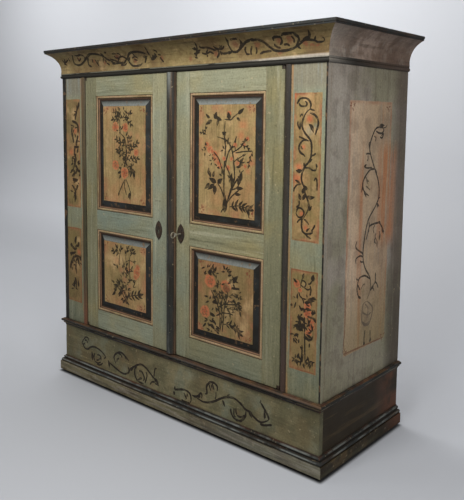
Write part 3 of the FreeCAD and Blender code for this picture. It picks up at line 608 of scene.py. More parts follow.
def painted(make_paint, node, seed, grain, body, slot, draw):
    # Paint a node, and lay its ornament on the same paint.
    dress(make_paint(node + "_paint", node, seed).finish(grain), node)
    art = Ornament(node + "_ornament", node, seed)
    if node.endswith("panel"):
        corner_marks(art, node)
    draw(art)
    ground = make_paint(node + "_ornament_paint", node, seed)
    ground.strokes()
    art.finish(ground.finish(grain), body, slot)


def upper_left_flowers(art):
    # A tied bunch: bare stalks below, roses and leaves above.
    art.smears((-436, 1404, 18), (-238, 1376, 22), (-300, 1430, 20), (-250, 1420, 20), strength=0.45)
    art.smears((-410, 1330, 26), (-390, 1200, 30), (-290, 1180, 26), colour=FIELD_SHADE, strength=0.35)
    art.lines(6, ((-350, 1190), (-374, 1152), (-400, 1108)), ((-340, 1190), (-318, 1150), (-302, 1116)),
              ((-346, 1190), (-352, 1150), (-336, 1104)), colour=INK_GREEN)
    art.lines(6, ((-345, 1190), (-338, 1300), (-346, 1400), (-386, 1440), (-388, 1500)))
    art.leaves((-302, 1120, 235, 40, 20), (-310, 1112, 262, 34), (-396, 1118, 250, 24))
    art.leaves((-322, 1250, 268, 52), (-300, 1254, 272, 54), (-280, 1236, 284, 46), (-372, 1232, 205, 40),
               (-376, 1218, 240, 36), (-366, 1240, 165, 36), (-300, 1246, 330, 40))
    art.clusters(5, 30, (-336, 1262), (-300, 1268), (-356, 1278), (-344, 1408))
    art.twigs(26, ((-342, 1330), (-375, 1342), (-402, 1346)), ((-344, 1365), (-372, 1386), (-408, 1398)),
              ((-340, 1318), (-310, 1345), (-280, 1372), (-254, 1382)),
              ((-338, 1290), (-305, 1300), (-252, 1302)), ((-342, 1350), (-318, 1385), (-306, 1404)),
              ((-338, 1300), (-362, 1312), (-386, 1322)), colour=INK_GREEN)
    art.blooms((-350, 1222, 29), (-425, 1262, 27), (-258, 1335, 18), (-424, 1468, 27), (-345, 1466, 24))
    art.twigs(24, ((-388, 1500), (-412, 1508), (-440, 1506)), ((-386, 1502), (-412, 1526), (-432, 1548)),
              ((-384, 1508), (-392, 1535), (-396, 1556)), ((-350, 1506), (-318, 1526), (-308, 1540)),
              ((-346, 1508), (-318, 1496), (-298, 1484)))
    art.clusters(4, 27, (-366, 1508), (-358, 1552), (-392, 1508))
    art.clusters(5, 24, (-300, 1220), (-282, 1262), (-376, 1380), (-390, 1340), (-300, 1360), (-280, 1300),
                 (-366, 1310), (-324, 1320), (-386, 1452), (-420, 1536), colour=INK_GREEN)


def upper_right_flowers(art):
    # A bush with bent branches, blossom on the left and a fern at its foot.
    art.smears((270, 1440, 36), (440, 1460, 36), (412, 1350, 18), (500, 1350, 16), strength=0.5)
    art.smears((456, 1484, 34), (446, 1436, 28), (270, 1440, 30), colour=CORAL, strength=0.45)
    art.smears((447, 1310, 24), (500, 1316, 22), (486, 1280, 18), (300, 1350, 26), colour=CORAL,
               strength=0.4)
    art.smears((272, 1444, 30), (300, 1400, 26), colour=WORN_BROWN, strength=0.3)
    art.lines(8, ((352, 1095), (346, 1200), (348, 1300), (353, 1380), (346, 1440), (350, 1502)),
              ((358, 1100), (384, 1180), (408, 1235), (404, 1310), (392, 1370), (362, 1412), (300, 1430)),
              ((362, 1120), (392, 1188), (426, 1240), (452, 1264)),
              ((350, 1290), (372, 1360), (400, 1392), (420, 1436)))
    art.lines(6, ((346, 1150), (330, 1186), (306, 1214)), ((404, 1316), (428, 1332), (454, 1346)),
              ((350, 1110), (338, 1090), (328, 1076)), ((392, 1186), (428, 1204), (442, 1238)),
              ((412, 1358), (460, 1366), (512, 1370)), ((346, 1510), (384, 1508), (396, 1518), (424, 1536)))
    art.leaf(352, 1078, 90, 84, 28)
    art.leaves((306, 1212, 40, 40, 24), (300, 1214, 155, 52, 24), (288, 1206, 205, 52),
               (292, 1202, 262, 46, 24), (264, 1238, 108, 40), (278, 1238, 80, 34), (256, 1212, 235, 44),
               (250, 1250, 95, 34))
    art.leaves((404, 1222, 118, 42, 16), (390, 1226, 98, 40), (430, 1210, 70, 54, 20), (444, 1232, 82, 46),
               (420, 1196, 8, 42), (412, 1170, 0, 36), (428, 1296, 55, 56, 18), (418, 1294, 12, 40),
               (452, 1346, 20, 26))
    art.twig(((380, 1108), (440, 1118), (492, 1108)), 36, True, 5)
    art.blooms((258, 1368, 17), (288, 1346, 17), (303, 1320, 17), (320, 1296, 15), (370, 1288, 13),
               (424, 1312, 12), (482, 1424, 10), (374, 1536, 12), (462, 1400, 10), (412, 1394, 12),
               (240, 1392, 12), (272, 1362, 12), (290, 1326, 12), (312, 1308, 13), (390, 1330, 10),
               (470, 1300, 9), (346, 1330, 10))
    art.clusters(4, 19, (236, 1384), (224, 1360), (268, 1338), (276, 1314), (342, 1372), (302, 1290),
                 (412, 1396))
    art.leaves((330, 1506, 165, 58, 16), (270, 1506, 205, 46, 18), (256, 1516, 155, 32),
               (288, 1510, 80, 36, 22), (310, 1510, 245, 32), (424, 1536, 22, 44, 17), (418, 1518, 330, 28),
               (374, 1510, 92, 34, 22))
    art.twigs(16, ((236, 1436), (222, 1446), (206, 1448)), ((228, 1440), (230, 1464)),
              ((440, 1400), (466, 1392), (484, 1384)), ((512, 1368), (500, 1340), (490, 1306)),
              ((450, 1410), (470, 1416)))
    art.leaves((332, 1452, 330, 28, 10), (358, 1452, 200, 26, 10))
    art.lines(6, ((370, 1130), (396, 1160), (436, 1190)), ((356, 1300), (384, 1250), (392, 1190)),
              ((350, 1240), (330, 1290), (312, 1330), (280, 1360)), ((396, 1360), (440, 1384), (474, 1420)))
    art.clusters(4, 26, (338, 1250), (386, 1240), (350, 1400), (448, 1262), (440, 1316), colour=INK_GREEN)


def lower_left_flowers(art):
    # Stems fanning out from one foot, with leaves at the ends and a rose on the right.
    art.smears((-332, 632, 24), (-342, 690, 22), (-420, 735, 30), (-362, 545, 20), strength=0.5)
    art.smears((-326, 600, 22), (-320, 700, 20), (-300, 740, 18), colour=CORAL, strength=0.4)
    art.lines(6, ((-346, 512), (-352, 560), (-336, 620), (-340, 690), (-346, 775)),
              ((-340, 515), (-322, 580), (-312, 650), (-318, 730), (-308, 790)),
              ((-350, 520), (-372, 590), (-384, 650), (-400, 720), (-396, 780)),
              ((-344, 540), (-300, 590), (-272, 640), (-262, 690)),
              ((-342, 580), (-356, 640), (-364, 700), (-352, 740)), ((-346, 560), (-388, 590), (-430, 620)))
    art.lines(4, ((-336, 640), (-310, 642), (-270, 650)), ((-338, 660), (-310, 690), (-292, 716)),
              ((-346, 740), (-312, 752), (-272, 742)), ((-340, 690), (-366, 730), (-372, 762)),
              ((-384, 650), (-410, 690), (-430, 712)), ((-312, 620), (-286, 610), (-262, 616)),
              colour=INK_GREEN)
    art.twig(((-346, 540), (-300, 560), (-244, 574)), 42, True, 6)
    art.leaf(-344, 504, 88, 84, 22)
    art.smears((-352, 640, 24), (-316, 606, 24), (-386, 690, 22), (-372, 570, 22), colour=FIELD_PINK,
               strength=0.55)
    art.clusters(6, 40, (-388, 606), (-380, 574), (-404, 586))
    art.clusters(5, 28, (-344, 620), (-330, 660), (-356, 690), (-318, 700), (-334, 580), (-360, 546),
                 colour=INK_RED)
    art.leaves((-392, 604, 130, 44, 17), (-404, 598, 190, 44, 17), (-420, 590, 240, 42, 16),
               (-380, 590, 260, 40, 16), (-432, 560, 225, 40, 15), (-424, 566, 130, 34, 14),
               (-386, 566, 235, 38, 15), (-440, 610, 160, 30, 12), (-352, 530, 230, 34, 13),
               (-342, 524, 310, 30, 12))
    art.leaves((-310, 640, 40, 24, 9), (-290, 646, 330, 26, 9), (-320, 676, 130, 24, 9),
               (-300, 706, 60, 24, 9), (-364, 660, 120, 26, 9), (-372, 700, 80, 24, 9),
               (-348, 650, 60, 24, 9), (-330, 590, 30, 26, 9), (-412, 692, 100, 26, 9),
               (-430, 706, 150, 24, 9), (-366, 620, 160, 26, 9), (-340, 720, 50, 24, 9),
               (-286, 748, 20, 26, 9), (-352, 600, 200, 24, 9), colour=INK_GREEN)
    art.blooms((-256, 694, 27), (-250, 722, 17), (-268, 668, 15))
    art.twigs(26, ((-396, 776), (-418, 784), (-444, 786)), ((-404, 780), (-418, 806)),
              ((-390, 778), (-386, 806)), ((-346, 770), (-338, 800), (-330, 812)),
              ((-308, 788), (-300, 810)), ((-308, 780), (-286, 796)))


def lower_right_flowers(art):
    art.smears((268, 678, 18), (318, 584, 18), (386, 668, 16), strength=0.45)
    art.smears((474, 612, 32), (462, 590, 22), (440, 560, 18), colour=WORN_BROWN, strength=0.6)
    art.lines(6, ((330, 508), (342, 580), (338, 640), (350, 700)),
              ((344, 506), (350, 560), (356, 620), (372, 680)),
              ((322, 512), (330, 570), (310, 640), (270, 700)), ((352, 600), (388, 604), (410, 602)),
              ((346, 640), (400, 650), (452, 658)), ((362, 690), (402, 728), (448, 734)),
              ((366, 740), (400, 768), (430, 790)))
    art.clusters(5, 36, (258, 540), (296, 532), (276, 506))
    art.clusters(4, 30, (276, 648), (322, 630), (244, 798), (276, 798), (364, 800))
    art.leaves((300, 574, 172, 50, 16), (404, 752, 48, 54, 18), (392, 728, 6, 58, 12), (250, 556, 100, 44),
               (225, 776, 335, 32), (296, 790, 80, 28), (376, 782, 30, 26))
    art.twig(((352, 546), (400, 550), (444, 526)), 32, True, 5)
    art.twigs(18, ((350, 640), (398, 664), (448, 654)), ((346, 620), (310, 660), (300, 690)),
              ((356, 650), (366, 690)), ((352, 630), (402, 628), (446, 640)),
              ((362, 680), (410, 696), (446, 690)), ((320, 660), (342, 690)), colour=INK_GREEN)
    art.blooms((266, 740, 33), (364, 730, 30), (233, 586, 30))
    art.blooms((370, 722, 20), colour=CORAL_DEEP, strength=0.75)
    art.clusters(4, 16, (306, 660), (326, 684), (420, 640), (400, 674))
    art.clusters(5, 34, (266, 646), (262, 544), (300, 520), (244, 790), (362, 796), (408, 764))
    art.clusters(5, 26, (330, 600), (352, 570), (400, 610), (430, 660), (380, 690), (310, 700), (340, 660),
                 (440, 700), (300, 620), (420, 540), (292, 786), (450, 640), (324, 730), colour=INK_GREEN)


PANEL_FLOWERS = {
    ("left", "upper"): upper_left_flowers,
    ("left", "lower"): lower_left_flowers,
    ("right", "upper"): upper_right_flowers,
    ("right", "lower"): lower_right_flowers,
}


# The painted vines, in places picked in the photograph. A stem, tendril or petal is the points that its
# stroke runs through; a blossom has a radius, and a leaf an angle, a length and a width, in millimetres.
RIGHT_PILASTER_BLOSSOMS = (
    (309.5, 119, 20), (299, 167, 22), (297, 178, 24), (301.5, 214, 15), (305.5, 228, 14), (303.5, 147, 12),
    (295, 96, 16),
)
RIGHT_PILASTER_RUBBED = (
    (309, 131, 24), (316, 126, 14),
)
RIGHT_PILASTER_STEMS = (
    ((310, 109), (306, 113), (303, 120), (302, 126), (305, 133), (309, 138), (311.5, 144), (311, 157),
     (308, 163), (304.5, 167), (301.5, 176), (302, 182), (304, 187), (305, 193), (308.5, 203), (308, 210),
     (303, 219)),
    ((297, 104), (300, 99), (304, 98), (308, 99), (311, 104), (310, 109)),
    ((310, 113), (315, 115), (318, 120), (318, 126), (315, 135)),
    ((309, 141), (304, 140), (300, 144), (299, 149), (301, 153), (304, 155), (305, 157)),
    ((302, 219), (301.5, 226), (303, 232), (307, 234), (312, 233), (312, 230)),
)
RIGHT_PILASTER_TENDRILS = (
    ((299, 103), (301, 106), (306, 106), (307, 103), (305, 101)), ((310, 109), (313, 110), (315, 110.5)),
    ((300, 117), (302, 114), (303, 116.5)), ((298, 121), (298, 125), (300, 129), (300, 122)),
    ((299, 136.5), (302, 138), (305, 139)), ((301, 146), (302, 149), (303, 148)),
    ((311, 156), (314, 155), (316, 153)), ((304, 168), (309, 168), (313, 170.5), (316, 170), (316, 167.5)),
    ((304, 162.5), (304, 167)), ((296, 170), (299, 172.5), (302, 170)),
    ((301, 184), (297, 185), (294, 189), (294, 192)), ((304, 185.5), (307, 188.5), (305, 190.5)),
    ((314, 181), (316, 178), (317, 182), (317, 191)), ((299, 200.5), (299, 205), (296, 207.3)),
    ((303, 219), (299, 220), (297, 223)), ((304, 219), (307, 222), (309, 225)),
    ((315, 225), (313, 229), (311, 231.5)), ((305, 234), (308, 237), (311, 239)),
    ((309, 124), (312, 128), (314, 131)),
)
RIGHT_PILASTER_RING = (
    ((296, 213), (298, 217), (302, 217), (304, 213), (302, 209), (298, 208), (296, 213)),
)
RIGHT_PILASTER_LEAVES = (
    (302.5, 200, 60, 34, 15), (301, 200, 120, 30, 14), (308, 198, 5, 34, 15), (312, 198, 170, 30, 13),
    (303, 194, 100, 26, 12), (296.5, 171, 20, 30, 12), (308.5, 203, 280, 30, 12), (310.5, 124, 300, 40, 16),
    (307.5, 188.5, 160, 26, 12), (300, 183, 150, 30, 10), (302, 172, 60, 26, 10), (308, 163, 40, 28, 9),
    (309, 211, 60, 26, 9), (306, 232, 60, 24, 9), (317, 168, 100, 20, 8),
)
RIGHT_PILASTER_TREE_STEMS = (
    ((303, 276), (299.3, 291), (300, 296), (303, 300), (305, 312), (304.5, 320), (305, 366)),
    ((301, 285), (304, 287.5), (306, 284), (304, 281), (302, 281)), ((312, 281), (310, 284), (308, 284)),
    ((310, 285.5), (311, 290), (310, 296)), ((304, 287.5), (308, 290), (310, 288.5)),
    ((302, 345), (302, 352), (300, 366)), ((303, 354), (302, 362)),
    ((307, 365), (306, 361), (308, 359), (309, 363), (308, 367)),
    ((310, 366), (310, 362), (312, 362), (312, 367)),
)
RIGHT_PILASTER_TREE_BLOSSOMS = (
    (297, 284, 17), (300, 290, 10), (307.5, 306.5, 18), (307.5, 313.5, 20), (311, 322, 16),
    (311.5, 327, 15), (308.5, 333.5, 16),
)
RIGHT_PILASTER_TREE_THICK_SPRAYS = (
    (299, 323.5), (297.5, 325), (301, 321),
)
RIGHT_PILASTER_TREE_SPRAYS = (
    (296, 301), (294.5, 335), (299, 333.5), (296, 359), (307, 299), (312, 307), (303, 313), (311, 317),
    (305, 326), (312, 333), (310, 341), (299, 344), (296, 327), (303, 362), (311, 364),
)
RIGHT_PILASTER_TREE_LEAVES = (
    (312.5, 281.5, 80, 30, 18), (297, 282.5, 150, 24, 10), (303, 278.5, 90, 24, 10),
    (307.5, 301, 35, 40, 13), (312, 297.5, 340, 24, 12), (304.5, 303, 20, 30, 13),
    (305.5, 308.5, 350, 30, 14), (304.5, 309, 200, 24, 12), (311, 313.5, 20, 24, 13),
    (307, 316.5, 0, 44, 9), (313.5, 318, 300, 24, 10), (304.5, 321, 150, 34, 15), (300, 327, 100, 40, 15),
    (301, 326, 190, 40, 17), (299.5, 321, 95, 30, 13), (302.5, 331, 150, 34, 13), (304.5, 336, 330, 30, 13),
    (307, 340, 20, 26, 12), (311.5, 338, 160, 30, 12), (294, 361, 20, 30, 14), (297, 358, 60, 26, 12),
    (291.5, 306, 90, 12, 10), (309.5, 327, 100, 40, 8), (313, 331, 110, 34, 8),
)


def right_pilaster_vine(art):
    # A scrolling vine above, and a small flowering tree below, all inside the painted panels.
    art.sides = RIGHT_PILASTER_SIDES
    art.smears(*art.seen(*RIGHT_PILASTER_BLOSSOMS), colour=CORAL, strength=0.75)
    art.smears(*art.seen(*RIGHT_PILASTER_RUBBED), colour=SAGE_BLUE, strength=0.5)
    art.trace(9, *RIGHT_PILASTER_STEMS)
    art.trace(7.5, *RIGHT_PILASTER_TENDRILS)
    art.trace(8, *RIGHT_PILASTER_RING)
    art.leaves(*art.seen(*RIGHT_PILASTER_LEAVES))
    art.trace(6.5, *RIGHT_PILASTER_TREE_STEMS)
    art.blooms(*art.seen(*RIGHT_PILASTER_TREE_BLOSSOMS))
    art.clusters(5, 30, *art.seen(*RIGHT_PILASTER_TREE_THICK_SPRAYS))
    art.clusters(4, 26, *art.seen(*RIGHT_PILASTER_TREE_SPRAYS))
    art.leaves(*art.seen(*RIGHT_PILASTER_TREE_LEAVES))


LEFT_PILASTER_BLOSSOMS = (
    (71.5, 152, 24), (75, 131, 22), (83.5, 250, 26), (79, 252, 20),
)
LEFT_PILASTER_RUBBED = (
    (73.5, 112, 26), (73.5, 118, 22), (78.5, 240, 22),
)
LEFT_PILASTER_SCROLLS = (
    ((79, 105), (77, 110), (75, 120)), ((72, 121), (76, 123), (78, 127), (78, 133)),
    ((72, 127), (72, 133), (74, 143)), ((78, 135.5), (77, 141), (76, 145.5)), ((74, 147), (79, 147)),
    ((75, 147), (74.5, 154), (76, 159), (75, 164), (77, 168), (76, 174)),
    ((71, 172), (73, 170), (75, 173), (72, 176)), ((78, 170), (81, 173), (79, 176)),
    ((72, 185), (75.5, 191), (75, 202)), ((78, 185), (76, 190)), ((73, 179), (78, 180)),
)
LEFT_PILASTER_LEAVES = (
    (78, 108, 70, 40, 18), (76, 113, 250, 40, 14), (74, 156, 220, 30, 12), (77, 153, 60, 34, 13),
    (76, 161, 140, 34, 13), (77.5, 164, 20, 30, 12), (73.5, 163, 200, 30, 12), (75, 168, 100, 30, 12),
    (72.5, 178, 330, 34, 13), (78, 180, 200, 34, 13), (75.5, 196, 120, 30, 11), (75.5, 200, 60, 30, 11),
    (79, 160, 270, 34, 10), (72, 158, 280, 30, 10),
)
LEFT_PILASTER_TREE_SCROLLS = (
    ((76, 237), (75, 242)), ((71, 243), (73, 247), (75, 248.5)), ((79, 242), (78, 246), (76, 245)),
    ((74, 256), (71, 264), (71, 268.5)), ((74, 257), (77, 256), (80, 258), (81, 261)),
    ((78, 257), (79, 264.5)), ((76, 262), (76, 270)), ((70, 253), (73, 253), (76, 252)),
)
LEFT_PILASTER_TREE_LEAVES = (
    (76, 278, 265, 50, 20), (74, 286, 75, 44, 16), (79, 287, 105, 44, 16), (75.5, 242, 80, 40, 16),
    (73, 247, 150, 30, 14), (76.5, 268, 260, 36, 14), (71.5, 266, 100, 34, 14), (80, 260, 60, 30, 12),
    (75, 260, 200, 34, 14), (77.5, 258, 240, 34, 14), (74, 250, 30, 34, 12),
)
LEFT_PILASTER_SPRAYS = (
    (75, 158), (77, 166), (73.5, 172), (76, 182), (75, 192), (76.5, 139), (74.5, 128), (77, 112),
    (75.5, 244), (74, 256), (78, 262), (73, 265), (76, 283), (75, 288),
)


def left_pilaster_vine(art):
    # Seen at a slant: a dense column of leaves and scrolls, worn to brown.
    art.sides = LEFT_PILASTER_SIDES
    ink = {"colour": INK_RED, "strength": 0.9}
    art.smears(*art.seen(*LEFT_PILASTER_BLOSSOMS), colour=CORAL, strength=0.7)
    art.smears(*art.seen(*LEFT_PILASTER_RUBBED), colour=FIELD_LIGHT, strength=0.6)
    art.trace(15, *LEFT_PILASTER_SCROLLS, **ink)
    art.leaves(*art.seen(*LEFT_PILASTER_LEAVES), **ink)
    art.trace(15, *LEFT_PILASTER_TREE_SCROLLS, **ink)
    art.leaves(*art.seen(*LEFT_PILASTER_TREE_LEAVES), **ink)
    art.clusters(4, 30, *art.seen(*LEFT_PILASTER_SPRAYS), **ink)


FRIEZE_BLOSSOMS = (
    (79, 59.5, 15), (94, 61, 15), (117, 57, 18), (135.5, 61, 16), (162, 58, 15), (105, 63, 15),
    (235, 44, 20), (257, 45, 20), (279, 40.5, 18), (290, 39, 24), (288, 35.5, 16), (216, 54, 16),
    (306, 44, 12), (280, 52.5, 14), (191, 59, 16),
)
FRIEZE_RUBBED = (
    (147, 60, 26), (110, 66, 24), (250, 47, 24), (205, 56, 30), (300, 48, 22),
)
FRIEZE_LEFT_STEMS = (
    ((72, 55), (73, 59), (74, 63), (77, 65), (80, 65), (83, 63), (86.5, 58), (91, 54), (102, 56),
     (103, 63)),
    ((88, 57), (88, 61), (89, 65), (92, 67)), ((104, 57), (107, 59), (113, 63)),
    ((112, 64), (120, 63), (124, 63), (127, 58)), ((127, 60), (129, 54), (134, 52), (142, 52.6), (147, 55)),
    ((130, 57), (129, 61), (131, 64), (134, 66), (141, 65), (142, 62.5)), ((147, 55), (146, 59), (145, 63)),
    ((147, 50), (147.5, 52), (152, 59.5), (156, 56), (154, 53)),
)
FRIEZE_LEFT_TENDRILS = (
    ((74, 55), (77, 56), (80, 55), (84, 56)), ((110, 59), (113, 60), (122, 63)),
    ((112, 54), (115, 53.5), (119, 54), (121, 56)), ((119, 58), (122, 56.5), (127, 59)),
    ((121, 65), (125, 65), (127, 63)), ((153, 50), (156, 51), (157, 53)), ((160, 57), (162, 60), (164, 62)),
    ((158, 54.5), (161, 55)), ((62, 60), (65, 63), (68, 60)), ((64, 64), (67, 65)),
    ((104, 53), (106, 52.3)),
)
FRIEZE_LEFT_PETALS = (
    ((77, 57), (79, 61), (81, 58)), ((95, 59.5), (97, 63), (99, 66)), ((98, 60), (98, 65)),
    ((92, 58.5), (93, 63)), ((132, 58), (134, 57), (136, 57), (138, 58.5)),
    ((134, 59), (136, 60), (138, 60)), ((152, 55), (154, 57)), ((114, 56), (116, 58), (119, 58)),
    ((105, 60), (107, 63), (110, 65)), ((68, 58), (70, 62)),
)
FRIEZE_LEFT_LEAVES = (
    (111, 61, 330, 30, 12), (128.5, 57, 240, 26, 11), (147.5, 52, 90, 26, 11), (152, 58, 20, 28, 12),
    (154, 53, 300, 24, 10), (104.5, 57, 120, 28, 11), (118, 61, 40, 26, 10), (122, 62, 330, 28, 11),
    (85, 60, 60, 22, 8), (100, 54.5, 320, 26, 9), (146, 56, 200, 28, 11), (65, 63, 60, 26, 9),
    (116, 63.5, 160, 26, 9), (132, 53, 300, 24, 8),
)
FRIEZE_RIGHT_STEMS = (
    ((197, 47), (197, 51), (196, 56.5)), ((218, 50), (219, 54), (217, 58)),
    ((220, 52), (224, 53.5), (231, 52)),
    ((228, 40), (228, 44), (232, 51), (236, 52), (239, 50), (246, 42), (254, 40), (262, 41), (271, 48),
     (278, 51), (292, 49), (303, 41), (307, 39.5), (315, 40.5), (318, 42), (324, 41), (324, 38), (322, 37)),
    ((296, 46), (298, 43), (299, 39), (297, 35), (293, 33.3), (284, 34), (281, 36)),
    ((274, 41), (273, 38.5), (275, 37), (279, 37), (281, 38), (282, 42), (280, 45)),
    ((303, 40), (306, 38), (309, 37), (310, 34.5)),
)
FRIEZE_RIGHT_TENDRILS = (
    ((200, 48), (208, 47.8), (215, 50)), ((194, 54), (197, 53), (200, 52)), ((194, 47), (196, 49)),
    ((199, 46), (201, 48)), ((202, 53), (206, 54), (210, 52), (214, 54)), ((207, 55), (208, 57)),
    ((195, 57.5), (198, 58)), ((215, 48), (218, 49), (222, 49), (224, 46)), ((219, 45), (221, 47)),
    ((220, 51), (222, 55)), ((240, 42), (241, 45), (239, 49)), ((230, 40), (233, 39), (237, 39)),
    ((246, 47), (245, 50), (247, 54), (250, 54)), ((252, 46), (251, 51), (251.3, 55)),
    ((256, 47), (257, 51), (256, 54)), ((260, 54), (264, 52), (272, 51)), ((274, 44), (277, 47), (281, 48)),
    ((284, 45), (287, 44), (290, 46)), ((291, 36), (294, 39), (294, 43)),
)
FRIEZE_RIGHT_PETALS = (
    ((233, 43), (235, 46), (238, 44)), ((254, 43), (257, 46), (260, 43)), ((277, 39), (279, 42)),
    ((286, 37), (289, 40), (288, 43)), ((303, 44), (306, 42), (308, 44.5)),
    ((310, 46), (312, 44), (315, 46)), ((316, 46), (320, 44)),
)
FRIEZE_RIGHT_LEAVES = (
    (196.5, 50, 150, 26, 11), (197.5, 52, 20, 26, 10), (197, 48, 80, 26, 10), (219, 49.5, 30, 30, 11),
    (218, 50, 150, 28, 11), (228.5, 45, 80, 34, 10), (232, 51.5, 200, 24, 10), (243, 45, 100, 26, 9),
    (266, 44, 330, 26, 10), (299, 38, 130, 28, 10), (297, 46, 330, 24, 9), (309.5, 37, 60, 28, 12),
    (250, 40.5, 20, 24, 9), (275, 50, 160, 26, 9), (206, 53, 40, 24, 9), (212, 49, 330, 24, 9),
    (289, 50, 20, 24, 9), (314, 40.5, 40, 22, 8),
)


def frieze_vine(art):
    # Two scrolling branches with a bare space between them.
    red = {"colour": WORN_RED, "strength": 0.6}
    fine = {"colour": INK_RED, "strength": 0.92}
    art.smears(*art.seen(*FRIEZE_BLOSSOMS), colour=WORN_RED, strength=0.75)
    art.smears(*art.seen(*FRIEZE_RUBBED), colour=FIELD_OLIVE, strength=0.5)
    art.trace(11, *FRIEZE_LEFT_STEMS)
    art.trace(9, *FRIEZE_LEFT_TENDRILS, **fine)
    art.trace(8, *FRIEZE_LEFT_PETALS, **fine)
    art.leaves(*art.seen(*FRIEZE_LEFT_LEAVES))
    art.trace(11, *FRIEZE_RIGHT_STEMS)
    art.trace(9, *FRIEZE_RIGHT_TENDRILS, **fine)
    art.trace(8, *FRIEZE_RIGHT_PETALS, **red)
    art.leaves(*art.seen(*FRIEZE_RIGHT_LEAVES))


PLINTH_BLOSSOMS = (
    (98, 360, 20), (122, 359, 24), (140, 376, 26), (187, 397, 16), (212, 390, 18), (238, 413, 20),
    (152, 384, 22), (119, 368, 20), (190, 402, 20),
)
PLINTH_LEFT_STEMS = (
    ((82, 342.5), (85, 348), (88, 349), (91, 347), (95, 347), (101, 351), (106, 357)),
    ((108, 360), (110, 363), (122, 373), (128, 373), (130.5, 369), (139, 364.5), (145, 367), (154, 378.2),
     (157, 380), (158, 385)),
    ((116, 363.5), (114, 357), (117, 353), (122, 353), (129, 361)),
    ((137, 366.5), (135, 369), (135, 375), (138, 381), (144, 384)),
    ((139, 371), (142, 372), (144.3, 378), (143, 381)), ((138, 380), (140, 379), (142, 378)),
)
PLINTH_LEFT_TENDRILS = (
    ((82, 342.5), (84, 339), (86, 337), (88, 338), (89, 341)), ((85, 341), (86, 339.8), (88, 343)),
    ((83, 344.5), (85, 343)), ((92, 351.5), (92, 358), (93, 360)),
    ((97, 355), (99, 355), (101, 357.5), (98, 360), (96, 360)), ((95, 361), (98, 363), (101, 362)),
    ((97, 364), (100, 365), (103, 363)), ((101, 357), (101, 360.5)), ((95, 353), (94, 357), (95, 361)),
    ((117, 362), (117, 360), (119, 358)), ((118, 353), (121, 355), (122, 357.8)),
    ((146, 372), (147, 376), (145, 383)), ((154, 376.5), (155, 369), (157, 369)),
    ((150, 384.5), (152, 382), (155, 382)), ((155, 383.5), (159, 385.5)),
)
PLINTH_LEFT_LEAVES = (
    (108.5, 360.5, 290, 40, 16), (130, 370, 30, 30, 16), (129.5, 371, 110, 24, 12), (154, 378, 330, 40, 18),
    (157, 380, 280, 34, 14), (93, 352.5, 265, 50, 9), (124, 354.5, 310, 36, 9), (106, 357.5, 200, 22, 8),
    (142, 378, 200, 26, 10),
)
PLINTH_RIGHT_STEMS = (
    ((175, 390), (178, 389.4), (185, 390), (190, 394), (191, 400), (190, 403)),
    ((182, 399), (183, 401), (190, 403.3)),
    ((192, 395), (195, 396.5), (198, 396), (201, 393), (202, 396), (201, 398)),
    ((197, 398), (200, 400), (204, 402), (212, 402), (224, 397.5), (233, 398), (240, 403), (245, 409),
     (251, 412.5), (252, 415), (260, 422), (267, 421), (269, 419)),
    ((205, 394), (207, 393), (206.5, 387), (208, 384), (212, 382), (217, 386), (217, 391.5)),
    ((231, 408.5), (231, 412), (234, 418), (240, 421), (245, 417), (246, 411)),
    ((237, 415.5), (240, 417), (243, 417), (245, 415)), ((261, 403), (267.5, 415), (269, 420)),
    ((260, 424), (264, 425.3), (272, 425)),
)
PLINTH_RIGHT_TENDRILS = (
    ((184, 392.5), (185, 396), (187, 399)), ((187, 393), (188, 397)), ((209, 384), (210, 388), (211, 391)),
    ((212, 383), (213, 386), (214, 390)), ((216, 392), (216, 396), (215, 399)),
    ((234, 408), (234, 411), (234, 415), (236, 417.5)), ((236, 408), (236, 412), (237, 415)),
    ((264, 411), (265, 414), (265, 418.5)), ((261, 400), (260, 403.5)),
)
PLINTH_RIGHT_LEAVES = (
    (174, 391, 280, 22, 14), (175, 390, 100, 20, 12), (227, 397, 60, 26, 10), (222.5, 400, 300, 34, 12),
    (249, 411, 300, 34, 14), (200, 394.5, 250, 24, 14), (264.5, 411, 265, 40, 7), (186, 394, 280, 30, 8),
    (211, 384, 290, 26, 8), (245, 415, 250, 22, 10),
)


def plinth_vine(art):
    # Two branches again, in a dark red-brown line.
    ink = {"colour": INK_RED, "strength": 0.95}
    art.smears(*art.seen(*PLINTH_BLOSSOMS), colour=WORN_BROWN, strength=0.35)
    art.trace(11, *PLINTH_LEFT_STEMS, **ink)
    art.trace(9, *PLINTH_LEFT_TENDRILS, **ink)
    art.leaves(*art.seen(*PLINTH_LEFT_LEAVES), **ink)
    art.trace(11, *PLINTH_RIGHT_STEMS, **ink)
    art.trace(7.5, *PLINTH_RIGHT_TENDRILS, **ink)
    art.leaves(*art.seen(*PLINTH_RIGHT_LEAVES), **ink)


